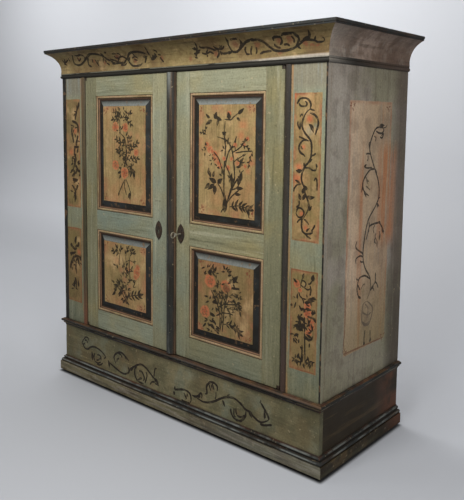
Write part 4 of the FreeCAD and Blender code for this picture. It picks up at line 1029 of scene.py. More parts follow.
SIDE_BLOSSOMS = (
    (371, 187, 24), (363.5, 288, 22), (376, 237, 26), (376, 137, 16),
)
SIDE_RUBBED = (
    (368, 184, 26), (379, 238, 24), (363, 291, 20),
)
SIDE_STEMS = (
    ((387, 125), (386, 127), (383, 128), (380, 127), (375, 130), (370, 145), (371, 156), (378, 180),
     (379, 195), (376, 205), (368, 221), (364, 242), (363, 257), (365, 268), (370, 278), (370, 290),
     (367, 299)),
    ((376, 131), (379, 133), (382, 133), (384, 130), (383, 129)),
    ((380, 137), (382, 138), (383, 136), (384, 133)),
    ((376, 170), (374, 169), (369, 171), (363, 182), (364, 191), (369, 196)),
    ((369, 232), (369, 228), (371, 225), (377, 223), (380, 223.5), (384, 232)),
    ((370, 279), (366, 276), (363, 276), (359, 279), (357, 289), (358.5, 297), (360, 298.5)),
)
SIDE_TENDRILS = (
    ((370, 142), (369, 144), (370, 149)), ((369, 222), (369, 228), (366, 240)),
    ((370, 154), (368, 153.5), (366, 154)), ((368, 155), (368, 159), (367, 161)),
    ((372, 167.5), (367, 168), (364, 166.3)), ((377, 203), (379, 206.5)), ((378, 199), (380, 197)),
    ((363, 253.5), (356, 248), (357, 241)), ((363, 257), (360, 256), (356, 259), (356, 264)),
    ((363, 262), (361, 262), (360, 260.5)), ((356, 279), (358, 280)), ((358, 285), (359, 288), (360, 290)),
    ((370, 291), (371, 289), (373, 288), (374, 291)), ((371, 288), (375, 282), (375.3, 274)),
    ((375, 281.5), (377, 284), (378, 288)), ((365, 330), (364, 338), (364, 345)),
    ((370, 330), (370, 338), (370, 342)),
)
SIDE_PETALS = (
    ((374, 136), (376, 138), (375, 141.5)), ((366, 177), (367, 180), (369, 181.5)),
    ((366, 186), (368, 188), (370, 190)), ((375, 225), (373, 229), (374, 233)),
    ((376, 233), (375, 237), (377, 241), (377, 247)), ((374, 240), (376, 244)),
    ((379, 231), (380, 235), (379.5, 239)), ((361, 289), (363, 285), (365, 284)),
)
SIDE_LEAVES = (
    (379, 127, 15, 54, 20), (383.5, 131, 240, 30, 12), (382, 226.5, 285, 40, 16), (380.5, 223, 150, 24, 10),
    (363, 184, 260, 40, 12), (364, 191.5, 320, 36, 13), (375.5, 169.5, 300, 24, 10),
    (366.5, 178, 300, 30, 10), (377, 241, 270, 34, 11), (375, 238, 250, 30, 10), (380, 233, 260, 34, 12),
    (378, 203, 250, 26, 10), (364, 166.5, 20, 26, 9), (358.5, 297, 340, 24, 12), (357.5, 284, 260, 34, 9),
    (371.5, 289, 40, 24, 9), (375.5, 277, 100, 24, 9), (363.5, 254, 160, 22, 9), (364, 346, 100, 26, 16),
    (369.5, 342, 60, 22, 14),
)
SIDE_BALL_TONES = (
    (367, 312, 46), (366.5, 318, 36),
)
SIDE_BALL = (
    ((367, 301), (370, 304), (372.5, 309), (369.5, 322), (366, 325.5), (363, 324), (361.5, 318), (363, 305),
     (367, 301)),
    ((362, 312), (367, 315), (371, 312)), ((362, 322), (366, 324), (369, 321)),
    ((365, 304), (368, 309), (366.5, 320)),
)
SIDE_RUST_LINES = (
    ((343, 354.5), (374, 341), (383, 337)), ((343, 350), (345, 320), (345, 280)),
)
SIDE_RUST_SPOTS = (
    (344.5, 352), (382, 336), (388.5, 107), (352.5, 105.5),
)


def side_vine(art):
    # A ball on a foot carries a tall stem with scrolls to left and right.
    art.smears(*art.seen(*SIDE_BLOSSOMS), colour=WORN_RED, strength=0.4)
    art.smears(*art.seen(*SIDE_RUBBED), colour=FIELD_OLIVE, strength=0.4)
    art.trace(9, *SIDE_STEMS, strength=0.9)
    art.trace(8, *SIDE_TENDRILS, strength=0.85)
    art.trace(7, *SIDE_PETALS, colour=INK_RED, strength=0.75)
    art.leaves(*art.seen(*SIDE_LEAVES), strength=0.9)
    art.smears(*art.seen(*SIDE_BALL_TONES), colour=SIDE_BROWN, strength=0.45)
    art.trace(8, *SIDE_BALL, colour=SIDE_BROWN, strength=0.8)
    rust = {"colour": WORN_RED, "strength": 0.75}
    art.trace(6, *SIDE_RUST_LINES, **rust)
    art.clusters(5, 22, *art.seen(*SIDE_RUST_SPOTS), **rust)


# Bands that end at a piece's edge run this far past it; how softly a crisp band and a rubbed one end
PAST_EDGE = 0.01
CRISP = 0.0008
RUBBED = 0.0015

# How far in from the edges of the frames and of the mouldings paint is rubbed off
FRAME_WEAR = 0.004
MOULDING_WEAR = 0.005

# Heights between which painted shade darkens the door frames towards the floor
FRAME_FOOT_SHADE = (1.1, 0.5)


def sage_paint(name, grain, seed, blue=0.6, shade=0.0, foot=0.0):
    paint = Paint(name, SAGE)
    paint.mottle(2.3, 0.32, 0.62, seed, SAGE_BLUE, blue)
    paint.mottle(3.4, 0.46, 0.7, seed + 3, SAGE_WARM, 0.9 - 0.6 * blue)
    paint.streak(grain, 30, 0.52, 0.7, seed + 1, SAGE_PALE, 0.45)
    paint.streak(grain, 22, 0.54, 0.72, seed + 4, SAGE_DEEP, 0.45)
    paint.streak(grain, 75, 0.54, 0.68, seed + 2, SAGE_DEEP, 0.42)
    paint.cover(abs(shade), SAGE_DEEP if shade > 0 else SAGE_PALE)
    # Painted shade, darker towards the floor.
    paint.fade("Z", FRAME_FOOT_SHADE, SAGE_DEEP, foot)
    paint.fleck(70, 0.68, 0.74, seed, WORN_PALE_AND_HIGHLIGHT, 0.5)
    paint.fleck(52, 0.68, 0.74, seed + 5, GRIME_AND_SHADE, 0.35)
    paint.fleck(26, 0.42, 0.6, seed, WORN_BROWN, 0.8, paint.edges(FRAME_WEAR))
    return paint


def dark_paint(name, grain, seed, worn_share):
    paint = Paint(name, DARK)
    paint.mottle(5, 0.4, 0.65, seed, DARK_BLUE, 0.6)
    paint.streak(grain, 30, 0.55, 0.7, seed + 2, WORN_BROWN, worn_share)
    paint.fleck(18, 0.4, 0.62, seed, WORN_RED, worn_share, paint.edges(MOULDING_WEAR))
    paint.fleck(80, 0.68, 0.74, seed + 4, WORN_PALE_AND_HIGHLIGHT, 0.5)
    return paint


# How blue each piece of the doors' frames has stayed, the rest being yellowed, how dark it has grown,
# or below nought how pale, and how much painted shade darkens it further at the foot
FRAME_TONES = {
    "left_door_hinge_stile": (0.1, 0.3, 0.0),
    "left_door_meeting_stile": (1.0, -0.14, 0.24),
    "left_door_top_rail": (0.5, 0.0, 0.0),
    "left_door_lock_rail": (1.0, 0.0, 0.0),
    "left_door_bottom_rail": (0.7, -0.04, 0.0),
    "right_door_hinge_stile": (0.15, 0.3, 0.24),
    "right_door_meeting_stile": (0.7, -0.08, 0.24),
    "right_door_top_rail": (0.4, -0.1, 0.0),
    "right_door_lock_rail": (0.3, 0.0, 0.0),
    "right_door_bottom_rail": (0.8, 0.28, 0.0),
}


def door_frames():
    for seed, (node, (blue, shade, foot)) in enumerate(FRAME_TONES.items()):
        grain = "X" if node.endswith("rail") else "Z"
        paint = sage_paint(node + "_paint", grain, seed, blue, shade, foot)
        paint.bare_back(node, seed)
        dress(paint.finish(grain), node)


# Widths of the bevel, the moulding and the tongue of each door panel, as modelled in the solids
BEVEL = 0.030
MOULDING_WIDTH = 0.027
TONGUE = 0.010


def field_of(node):
    # The flat raised field of a panel: its lowest and highest x and z.
    low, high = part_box(node)
    inset = TONGUE + MOULDING_WIDTH + BEVEL
    return low.x + inset, high.x - inset, low.z + inset, high.z - inset


# How dark each door panel has grown
PANEL_SHADES = {
    "left_door_upper_panel": 0.08,
    "left_door_lower_panel": 0.10,
    "right_door_upper_panel": 0.10,
    "right_door_lower_panel": 0.50,
}

# Insets of a field's stained middle and of its pink border, the first's soft edge, and the field's own edge
HEART_INSET = 0.10
HEART_SOFT = 0.09
BORDER_INSET = 0.03
FIELD_SOFT = 0.0012
FIELD_WOBBLE = 0.004

# Heights between which painted shade turns the bevels black
BEVEL_FOOT_SHADE = (0.95, 0.75)

# How far up the top bevel its dust and painted highlight thin out, in bevel widths
DUST_AND_HIGHLIGHT_REACH = 1.3


def panel_paint(name, node, seed):
    left, right, low, high = field_of(node)
    paint = Paint(name, FIELD)
    paint.mottle(4.2, 0.42, 0.66, seed, FIELD_PEACH, 0.85)
    paint.mottle(3.1, 0.46, 0.7, seed + 4, FIELD_OLIVE, 0.7)
    paint.streak("Z", 42, 0.5, 0.7, seed, FIELD_OLIVE, 0.7)
    paint.streak("Z", 70, 0.56, 0.7, seed + 1, WORN_BROWN, 0.45)
    paint.cover(PANEL_SHADES[node], FIELD_SHADE)
    heart = paint.patch("X", left, right, "Z", low, high, HEART_SOFT, inset=HEART_INSET)
    paint.mottle(13, 0.46, 0.68, seed + 6, FIELD_SHADE, 0.5, paint.math("ADD", 0.25, heart))
    paint.mottle(7, 0.54, 0.72, seed + 9, FIELD_LIGHT, 0.55)
    paint.streak("Z", 110, 0.52, 0.66, seed + 7, FIELD_SHADE, 0.35)
    middle = paint.patch("X", left, right, "Z", low, high, BORDER_INSET, inset=BORDER_INSET)
    paint.mottle(11, 0.46, 0.62, seed, FIELD_PINK, 0.6, paint.math("SUBTRACT", 1.0, middle))
    field = paint.patch("X", left, right, "Z", low, high, FIELD_SOFT, FIELD_WOBBLE)
    outside = paint.math("SUBTRACT", 1.0, field)
    paint.cover(outside, DARK)
    paint.mottle(9, 0.45, 0.65, seed, DARK_BLUE, 0.8, outside)
    # Painted shade: the lower bevels darker.
    paint.fade("Z", BEVEL_FOOT_SHADE, INK_AND_SHADOW, 0.4, outside)
    # The top bevel, which faces up, is paler with dust and a painted highlight.
    above = paint.math("SUBTRACT", paint.along("Z"), high)
    past_left = paint.math("SUBTRACT", left, paint.along("X"))
    past_right = paint.math("SUBTRACT", paint.along("X"), right)
    beside = paint.math("MAXIMUM", past_left, past_right)
    top_bevel = paint.math("GREATER_THAN", above, paint.math("MAXIMUM", beside, 0.0))
    paint.cover(paint.ramp(above, BEVEL * DUST_AND_HIGHLIGHT_REACH, 0.0), DUST_AND_HIGHLIGHT, 0.75, top_bevel)
    paint.fleck(46, 0.62, 0.72, seed, WORN_BROWN, 0.7, outside)
    paint.bare_back(node, seed)
    return paint


# Depths behind the crown of a panel moulding at which its paint changes: a dark groove, the pink hollow
# and the dark groove beside the panel
OUTER_GROOVE = (0.0022, 0.0030)
HOLLOW = (0.0060, 0.0068)
INNER_GROOVE = (0.0092, 0.0104)


def moulding_paint(side, seed):
    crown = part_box(side + "_door_panel_mouldings")[0].y
    paint = Paint(side + "_panel_moulding_paint", MOULDING)
    paint.mottle(9, 0.42, 0.62, seed, SAGE_WARM, 0.5)
    paint.mottle(6, 0.48, 0.64, seed + 2, WORN_BROWN, 0.6)
    paint.fleck(60, 0.62, 0.7, seed, WORN_PALE_AND_HIGHLIGHT, 0.6)
    paint.fade("Y", OUTER_GROOVE, MOULDING_DARK, 0.85, start=crown)
    hollow = paint.slope("Y", *HOLLOW, crown)
    paint.cover(hollow, MOULDING_PINK, 0.8)
    paint.mottle(10, 0.44, 0.62, seed + 4, WORN_BROWN, 0.6, hollow)
    paint.fade("Y", INNER_GROOVE, MOULDING_DARK, 0.92, start=crown)
    return paint.finish("Z")


def door_panels():
    seed = 3
    for side in ("left", "right"):
        for level in ("upper", "lower"):
            node = side + "_door_" + level + "_panel"
            seed += 5
            painted(panel_paint, node, seed, "Z", side + "_door", "panel_paint", PANEL_FLOWERS[side, level])
        dress(moulding_paint(side, seed), side + "_door_panel_mouldings")


# Painted panels on the pilasters: inset from the pilaster's inner edge, width, heights and darkness, which
# on the left pilaster is mostly painted shade
PILASTER_PANEL_INSET = 0.017
PILASTER_PANEL_WIDTH = 0.134
PILASTER_PANELS = ((1.010, 1.630), (0.447, 0.887))
PILASTER_DARKNESS_AND_SHADE = {"left": 0.58, "right": 0.36}

# The panels' hand-drawn edge, and how far in their pink rim and their red line reach, across and up
PILASTER_SOFT = 0.002
PILASTER_WOBBLE = 0.006
RIM_ACROSS = 0.012
RIM_UP = 0.014
RIM_SOFT = 0.008
LINE_ACROSS = 0.005
LINE_UP = 0.006

# Heights between which the pilasters, their panels and their flanks darken towards the foot, as painted
# shade, and between which the pilasters change towards the head
PILASTER_FOOT_SHADE = (1.2, 0.35)
PILASTER_HEAD = (1.62, 1.68)
PILASTER_PANEL_FOOT_SHADE = (1.1, 0.6)
FLANK_FOOT_SHADE = (1.2, 0.4)

# Depth behind the front at which a pilaster's flank begins
FLANK_DEPTH = (0.0006, 0.0016)

# The dark line along each pilaster's outer edge and the worn ochre one beside its bead: width, softness
# and wobble
EDGE_LINES = {"left": (0.032, 0.004, 0.008), "right": (0.008, 0.0012, 0.004)}
LINING_LINES = {"left": (0.008, RUBBED, 0.004), "right": (0.010, RUBBED, 0.004)}


def pilaster_panel_x(side):
    low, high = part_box(side + "_pilaster")
    if side == "right":
        return low.x + PILASTER_PANEL_INSET, low.x + PILASTER_PANEL_INSET + PILASTER_PANEL_WIDTH
    return high.x - PILASTER_PANEL_INSET - PILASTER_PANEL_WIDTH, high.x - PILASTER_PANEL_INSET


def edge_line(paint, node, at_right, width, soft, wobble):
    low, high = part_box(node)
    if at_right:
        return paint.band("X", -width, PAST_EDGE, soft, wobble, high.x)
    return paint.band("X", -PAST_EDGE, width, soft, wobble, low.x)


def pilaster_panel(paint, side, foot, head, seed):
    left, right = pilaster_panel_x(side)
    panel = paint.patch("X", left, right, "Z", foot, head, PILASTER_SOFT, PILASTER_WOBBLE)
    paint.cover(panel, FIELD)
    # Darker panels; on the left pilaster the greater darkness is painted shade.
    paint.cover(panel, FIELD_SHADE, PILASTER_DARKNESS_AND_SHADE[side])
    paint.mottle(5, 0.42, 0.62, seed, FIELD_PEACH, 0.55, panel)
    paint.mottle(7, 0.48, 0.66, seed + 3, FIELD_OLIVE, 0.8, panel)
    paint.mottle(16, 0.5, 0.68, seed + 5, FIELD_SHADE, 0.5, panel)
    paint.streak("Z", 90, 0.5, 0.66, seed + 7, FIELD_SHADE, 0.4, panel)
    paint.mottle(8, 0.54, 0.7, seed + 9, FIELD_LIGHT, 0.5, panel)
    rim = paint.rim(panel, "X", left, right, foot, head,
                    RIM_ACROSS, RIM_UP, RIM_SOFT, PILASTER_WOBBLE)
    paint.mottle(12, 0.4, 0.6, seed, FIELD_PINK, 0.6, rim)
    # Painted shade on the panel's lower part.
    paint.fade("Z", PILASTER_PANEL_FOOT_SHADE, FIELD_SHADE, 0.36, panel)
    line = paint.rim(panel, "X", left, right, foot, head,
                     LINE_ACROSS, LINE_UP, PILASTER_SOFT, PILASTER_WOBBLE)
    paint.mottle(14, 0.4, 0.56, seed + 2, WORN_RED, 0.6, line)


def pilaster_paint(name, node, seed):
    side = node.split("_")[0]
    paint = sage_paint(name, "Z", seed, 0.7)
    # Painted shade, darker towards the foot.
    paint.fade("Z", PILASTER_FOOT_SHADE, SAGE_DEEP, 0.42)
    top = paint.slope("Z", *PILASTER_HEAD)
    paint.cover(top, SIDE, 0.5)
    paint.cover(top, SAGE_DEEP, 0.38)
    paint.streak("Z", 40, 0.5, 0.62, seed + 8, DUST_AND_HIGHLIGHT, 0.7, top)
    for foot, head in PILASTER_PANELS:
        pilaster_panel(paint, side, foot, head, seed)
    edge = edge_line(paint, node, side == "right", *EDGE_LINES[side])
    lining = edge_line(paint, node, side == "left", *LINING_LINES[side])
    paint.mottle(8, 0.36, 0.56, seed + 6, OCHRE, 0.6, lining)
    paint.cover(edge, DARK)
    paint.fleck(30, 0.56, 0.7, seed, WORN_BROWN, 0.7, edge)
    flank = paint.slope("Y", *FLANK_DEPTH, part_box(node)[0].y)
    paint.cover(flank, SIDE)
    # Painted shade, darker and greener at the flank's foot.
    paint.fade("Z", FLANK_FOOT_SHADE, SIDE_GREEN, 0.8, flank)
    paint.streak("Z", 26, 0.5, 0.72, seed, SIDE_BROWN, 0.45, flank)
    paint.bare_back(node, seed)
    return paint


# Heights between which the jamb beads redden, and for each bead its tone, that tone's share and its wear
BEAD_FOOT = (0.75, 0.34)
BEAD_TONES = {"left": (SAGE_DEEP, 0.6, 0.75), "right": (DARK_BLUE, 0.55, 0.15)}


def bead_paint(side, seed):
    # Brown wear, redder towards the foot.
    tone, share, worn_share = BEAD_TONES[side]
    paint = dark_paint(side + "_bead_paint", "Z", seed, 0.4)
    foot = paint.slope("Z", *BEAD_FOOT)
    paint.streak("Z", 30, 0.3, 0.5, seed + 5, tone, share)
    paint.streak("Z", 18, 0.36, 0.6, seed + 7, WORN_BROWN, worn_share * 0.8)
    paint.streak("Z", 24, 0.38, 0.56, seed + 9, WORN_RED, worn_share, foot)
    return paint.finish("Z", (0.35, 0.6))


# The cover strip's crown across its width, rubbed and painted with a highlight, the height of the
# highlight's palest end, and the width of its flat lip, as modelled in the solid
STRIP_CROWN_HIGHLIGHT = (0.016, 0.040)
STRIP_HIGHLIGHT_SOFT = 0.006
STRIP_HIGHLIGHT_END = 0.16
LIP_WIDTH = 0.010


def strip_paint():
    # Brown-grey, rubbed and painted with a pale highlight along the crown, and red-brown on the flat lip.
    low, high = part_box("cover_strip")
    paint = dark_paint("cover_strip_paint", "Z", 23, 0.5)
    paint.streak("Z", 20, 0.46, 0.66, 25, WORN_BROWN, 0.3)
    # A painted highlight, with wear, along the crown, palest at the top.
    crown = paint.band("X", *STRIP_CROWN_HIGHLIGHT, STRIP_HIGHLIGHT_SOFT, STRIP_HIGHLIGHT_SOFT, low.x)
    paint.streak("Z", 40, 0.5, 0.64, 27, DUST_AND_HIGHLIGHT, 0.45, crown)
    paint.fade("Z", (-STRIP_HIGHLIGHT_END, 0.0), DUST_AND_HIGHLIGHT, 0.6, crown, high.z)
    lip = paint.band("X", -LIP_WIDTH, PAST_EDGE, CRISP, start=high.x)
    paint.cover(lip, WORN_BROWN, 0.5)
    paint.streak("Z", 36, 0.48, 0.62, 29, DARK, 0.7, lip)
    return paint.finish("Z", (0.4, 0.65))


def pilasters():
    for side, seed, flowers in (("left", 11, left_pilaster_vine), ("right", 17, right_pilaster_vine)):
        painted(pilaster_paint, side + "_pilaster", seed, "Z", "carcass", "sage_paint", flowers)
        dress(bead_paint(side, seed + 2), side + "_jamb_bead")
    dress(strip_paint(), "cover_strip")


# Heights over the frieze's foot: tops of the dark bead and of the fillet on it, and their crowns, rubbed
# and painted with highlights
BEAD_TOP = 0.022
FILLET_TOP = 0.027
BEAD_CROWN_HIGHLIGHT = (0.008, 0.012)
FILLET_CROWN_HIGHLIGHT = (0.022, 0.026)
BEAD_SOFT = 0.001

# The pale strip over the fillet, worn and a painted highlight: where along the front it begins, is full
# and ends, and its height
PALE_HIGHLIGHT_START = 0.30
PALE_HIGHLIGHT_FULL = 0.62
PALE_HIGHLIGHT_END = 0.88
PALE_HIGHLIGHT_HEIGHT = 0.010
PALE_HIGHLIGHT_SOFT = (-0.003, 0.006)

# Places along the sides between which the frieze browns and darkens to the back, as brown paint and
# painted shade, and pales to the front, as painted light
COVE_SHADED_REAR = (-0.22, 0.20)
COVE_LIT_FRONT = (-0.10, -0.36)


def frieze_paint(name, node, seed):
    front = node.endswith("front")
    grain = "X" if front else "Y"
    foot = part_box(node)[0].z
    brown = FRIEZE_BROWN if front else FRIEZE_SIDE_BROWN
    paint = Paint(name, FRIEZE if front else FRIEZE_SIDE)
    paint.mottle(4, 0.42, 0.64, seed, brown, 0.8)
    paint.mottle(11, 0.46, 0.62, seed + 3, FIELD_OLIVE if front else SIDE_BROWN, 0.45)
    paint.mottle(24, 0.48, 0.62, seed + 9, brown, 0.5)
    paint.streak(grain, 40, 0.5, 0.66, seed + 1, GRIME_AND_SHADE, 0.4)
    paint.streak(grain, 26, 0.56, 0.72, seed + 6, FIELD_OLIVE if front else SIDE, 0.5)
    paint.mottle(15, 0.54, 0.66, seed + 12, FIELD_LIGHT if front else SIDE_PALE, 0.3)
    paint.cover(paint.band("Z", -PAST_EDGE, FILLET_TOP, BEAD_SOFT, BEAD_SOFT, foot), DARK)
    if front:
        # Painted highlights, with wear, on the crowns of the bead and of the fillet.
        crown = paint.band("Z", *BEAD_CROWN_HIGHLIGHT, BEAD_SOFT, BEAD_SOFT, foot)
        paint.mottle(6, 0.35, 0.5, 2, WORN_PALE_AND_HIGHLIGHT, 0.4, crown)
        step = paint.band("Z", *FILLET_CROWN_HIGHLIGHT, BEAD_SOFT, BEAD_SOFT, foot)
        paint.mottle(8, 0.4, 0.5, 5, SAGE_PALE, 0.3, step)
        # A pale strip low on the cove, wear and a painted highlight, growing towards the right.
        above = paint.math("SUBTRACT", paint.along("Z"), foot + FILLET_TOP)
        spread = paint.math("MULTIPLY", paint.slope("X", PALE_HIGHLIGHT_START, PALE_HIGHLIGHT_END), PALE_HIGHLIGHT_HEIGHT)
        low_part = paint.ramp(paint.math("SUBTRACT", spread, above), *PALE_HIGHLIGHT_SOFT)
        pale_highlight = paint.math("MULTIPLY", low_part, paint.slope("X", PALE_HIGHLIGHT_START, PALE_HIGHLIGHT_FULL))
        paint.streak("X", 24, 0.3, 0.5, 7, SIDE_PALE, 0.7, pale_highlight)
        paint.cover(paint.band("Z", -PAST_EDGE, BEAD_TOP, BEAD_SOFT, BEAD_SOFT, foot), DARK)
    else:
        # Browner and darker to the back, brown paint and painted shade; paler to the front, painted light.
        paint.fade("Y", COVE_SHADED_REAR, FRIEZE_SIDE_BROWN, 0.5)
        paint.fade("Y", COVE_LIT_FRONT, SIDE_PALE, 0.45)
    return paint


# The three runs of each moulding that goes round the cupboard, with the way that their grain lies
RUNS = (("front", "X"), ("left", "Y"), ("right", "Y"))


def frieze():
    painted(frieze_paint, "frieze_moulding_front", 3, "X", "carcass", "frieze_paint", frieze_vine)
    for part in ("left", "right"):
        node = "frieze_moulding_" + part
        dress(frieze_paint(node + "_paint", node, 3).finish("Y"), node)
    for part, grain in RUNS:
        dress(dark_paint("cap_" + part + "_paint", grain, 31, 0.3).finish(grain), "cornice_cap_" + part)


# Places along the front between which the plinth darkens to the right
PLINTH_DARK = (-0.3, 0.8)


def plinth_paint(name, node, seed):
    paint = Paint(name, PLINTH)
    paint.mottle(2.2, 0.4, 0.62, seed, SAGE_DEEP, 0.6)
    paint.mottle(6, 0.5, 0.66, seed + 8, SAGE_BLUE, 0.45)
    paint.mottle(4, 0.46, 0.64, seed + 5, PLINTH_BROWN, 0.5)
    paint.mottle(13, 0.46, 0.62, seed + 7, SAGE_DEEP, 0.5)
    paint.streak("X", 36, 0.55, 0.72, seed + 1, SAGE_WARM, 0.35)
    paint.fade("X", PLINTH_DARK, SAGE_DEEP, 0.3)
    paint.fleck(60, 0.66, 0.73, seed + 2, WORN_PALE_AND_HIGHLIGHT, 0.4)
    return paint


# The waist moulding: heights of its roll and of its top fillet, the painted highlight on its small reed
# over the foot, the places along the front between which its roll turns tan, and how far from the middle
# its fillet wears through
ROLL_HEIGHT = 0.009
TOP_FILLET = 0.0035
REED_HIGHLIGHT = (0.0125, 0.016)
TAN_SLOPE = (-0.5, 0.6)
WORN_ENDS = (0.25, 0.75)


def waist_paint(part, grain):
    # Dark, with its top fillet worn to ochre and a pale painted highlight on the small reed.
    low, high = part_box("waist_moulding_" + part)
    paint = dark_paint("waist_" + part + "_paint", grain, 41, 0.45)
    if part == "front":
        roll = paint.band("Z", -ROLL_HEIGHT, PAST_EDGE, BEAD_SOFT, start=high.z)
        tan = paint.math("ADD", 0.04, paint.math("MULTIPLY", paint.slope("X", *TAN_SLOPE), 0.18))
        paint.streak(grain, 30, 0.34, 0.5, 4, MOULDING_PINK, 1.0, paint.math("MULTIPLY", roll, tan))
    top = paint.band("Z", -TOP_FILLET, PAST_EDGE, CRISP, start=high.z)
    ends = paint.ramp(paint.math("ABSOLUTE", paint.along("X"), 0.0), *WORN_ENDS)
    worn = paint.math("MULTIPLY", top, paint.math("ADD", 0.25, paint.math("MULTIPLY", ends, 0.5)))
    paint.mottle(9, 0.46, 0.6, 3, OCHRE, 0.5, worn)
    paint.mottle(12, 0.5, 0.62, 6, WORN_RED, 0.5, worn)
    # A pale painted highlight along the small reed.
    reed_highlight = paint.band("Z", *REED_HIGHLIGHT, BEAD_SOFT, start=low.z)
    paint.mottle(9, 0.4, 0.55, 8, WORN_PALE_AND_HIGHLIGHT, 0.5, reed_highlight)
    return paint.finish(grain)


# The base moulding: height of its flat band, as modelled in the solid, how far the band's paint goes past
# it, the two crests over the band, rubbed and painted with highlights, and their height, and the places
# between which the band gathers dust in front and rust on the sides
BAND_HEIGHT = 0.049
BAND_OVERLAP = 0.0005
CREST_HIGHLIGHTS = (0.008, 0.027)
CREST_HIGHLIGHT_HEIGHT = 0.006
BAND_DUST = (0.0, 0.6)
BAND_RUST = (0.20, 0.36)


def base_paint(part, grain):
    band_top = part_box("base_moulding_front")[0].z + BAND_HEIGHT
    paint = dark_paint("base_" + part + "_paint", grain, 37, 0.5)
    band = paint.band("Z", -PAST_EDGE, band_top + BAND_OVERLAP, CRISP)
    paint.cover(band, PLINTH if part == "front" else PLINTH_SIDE)
    paint.streak(grain, 30, 0.45, 0.65, 8, SAGE_DEEP, 0.6, band)
    paint.mottle(7, 0.5, 0.62, 5, PLINTH_BROWN, 0.7, band)
    paint.fleck(44, 0.62, 0.7, 8, WORN_PALE_AND_HIGHLIGHT, 0.4, band)
    paint.streak(grain, 60, 0.5, 0.62, 12, GRIME_AND_SHADE, 0.4, band)
    if part == "front":
        paint.streak(grain, 75, 0.48, 0.6, 14, SIDE_PALE, 0.35, band)
        paint.cover(band, DARK_BLUE, 0.2)
        paint.fade("X", BAND_DUST, DUST_AND_HIGHLIGHT, 0.25, band)
    else:
        paint.fade("Y", BAND_RUST, PLINTH_RUST, 0.8, band)
    # Painted highlights, with wear, along the two crests.
    for crest in CREST_HIGHLIGHTS:
        line = paint.band("Z", band_top + crest, band_top + crest + CREST_HIGHLIGHT_HEIGHT, RUBBED)
        paint.mottle(8, 0.4, 0.58, 9, DUST_AND_HIGHLIGHT, 0.55, line)
    return paint.finish(grain)


# Places along the plinth's sides between which rust-red wear sets in
PLINTH_REAR = (0.12, 0.36)


def plinth():
    painted(plinth_paint, "plinth_front", 2, "X", "carcass", "plinth_paint", plinth_vine)
    side = Paint("plinth_side_paint", PLINTH_SIDE)
    side.streak("Y", 30, 0.5, 0.7, 3, PLINTH_BROWN, 0.6)
    side.mottle(7, 0.4, 0.6, 6, PLINTH_RUST, 0.9, side.slope("Y", *PLINTH_REAR))
    dress(side.finish("Y"), "plinth_left_side", "plinth_right_side")
    for part, grain in RUNS:
        dress(base_paint(part, grain), "base_moulding_" + part)
        dress(waist_paint(part, grain), "waist_moulding_" + part)


# The painted panel on each side: distances behind the carcass front, heights, hand-drawn edge and pink rim
SIDE_PANEL_FRONT = 0.180
SIDE_PANEL_BACK = 0.560
SIDE_PANEL_LOW = 0.485
SIDE_PANEL_HIGH = 1.602
SIDE_SOFT = 0.003
SIDE_WOBBLE = 0.008
SIDE_RIM_ACROSS = 0.014
SIDE_RIM_UP = 0.012
SIDE_RIM_SOFT = 0.006

# How far in from its front edge the panel is paler, as painted light, and from its back edge browner, as
# brown paint and painted shade, and the heights of its olive foot, olive paint darkened as painted shade
PANEL_LIGHT_AND_SHADE = 0.20
PANEL_FOOT_SHADE = (0.9, 0.5)

# Heights between which the sides turn darker green at the foot, green paint and painted shade, are paler
# in front as painted light, darker at the rear as painted shade, and brown at the head
SIDE_FOOT_SHADE = (0.9, 0.35)
LIT_FRONT = (0.8, 1.3)
REAR_SHADE = (1.0, 0.5)
SIDE_HEAD = (1.58, 1.74)

# Places beside the panel's edges between which the front strip is paler, as painted light, the rear strip
# darker, as painted shade, and the rear browner and darker, as brown paint and painted shade
LIT_FRONT_STRIP = (0.02, -0.06)
SHADED_REAR_STRIP = (-0.02, 0.04)
BROWN_SHADED_REAR = (-0.02, 0.10)

# The orange stain about the panel's back edge: reach across it, heights and soft edge
ORANGE_ACROSS = (-0.10, 0.05)
ORANGE_HEIGHTS = (0.95, 1.40)
ORANGE_SOFT = 0.05


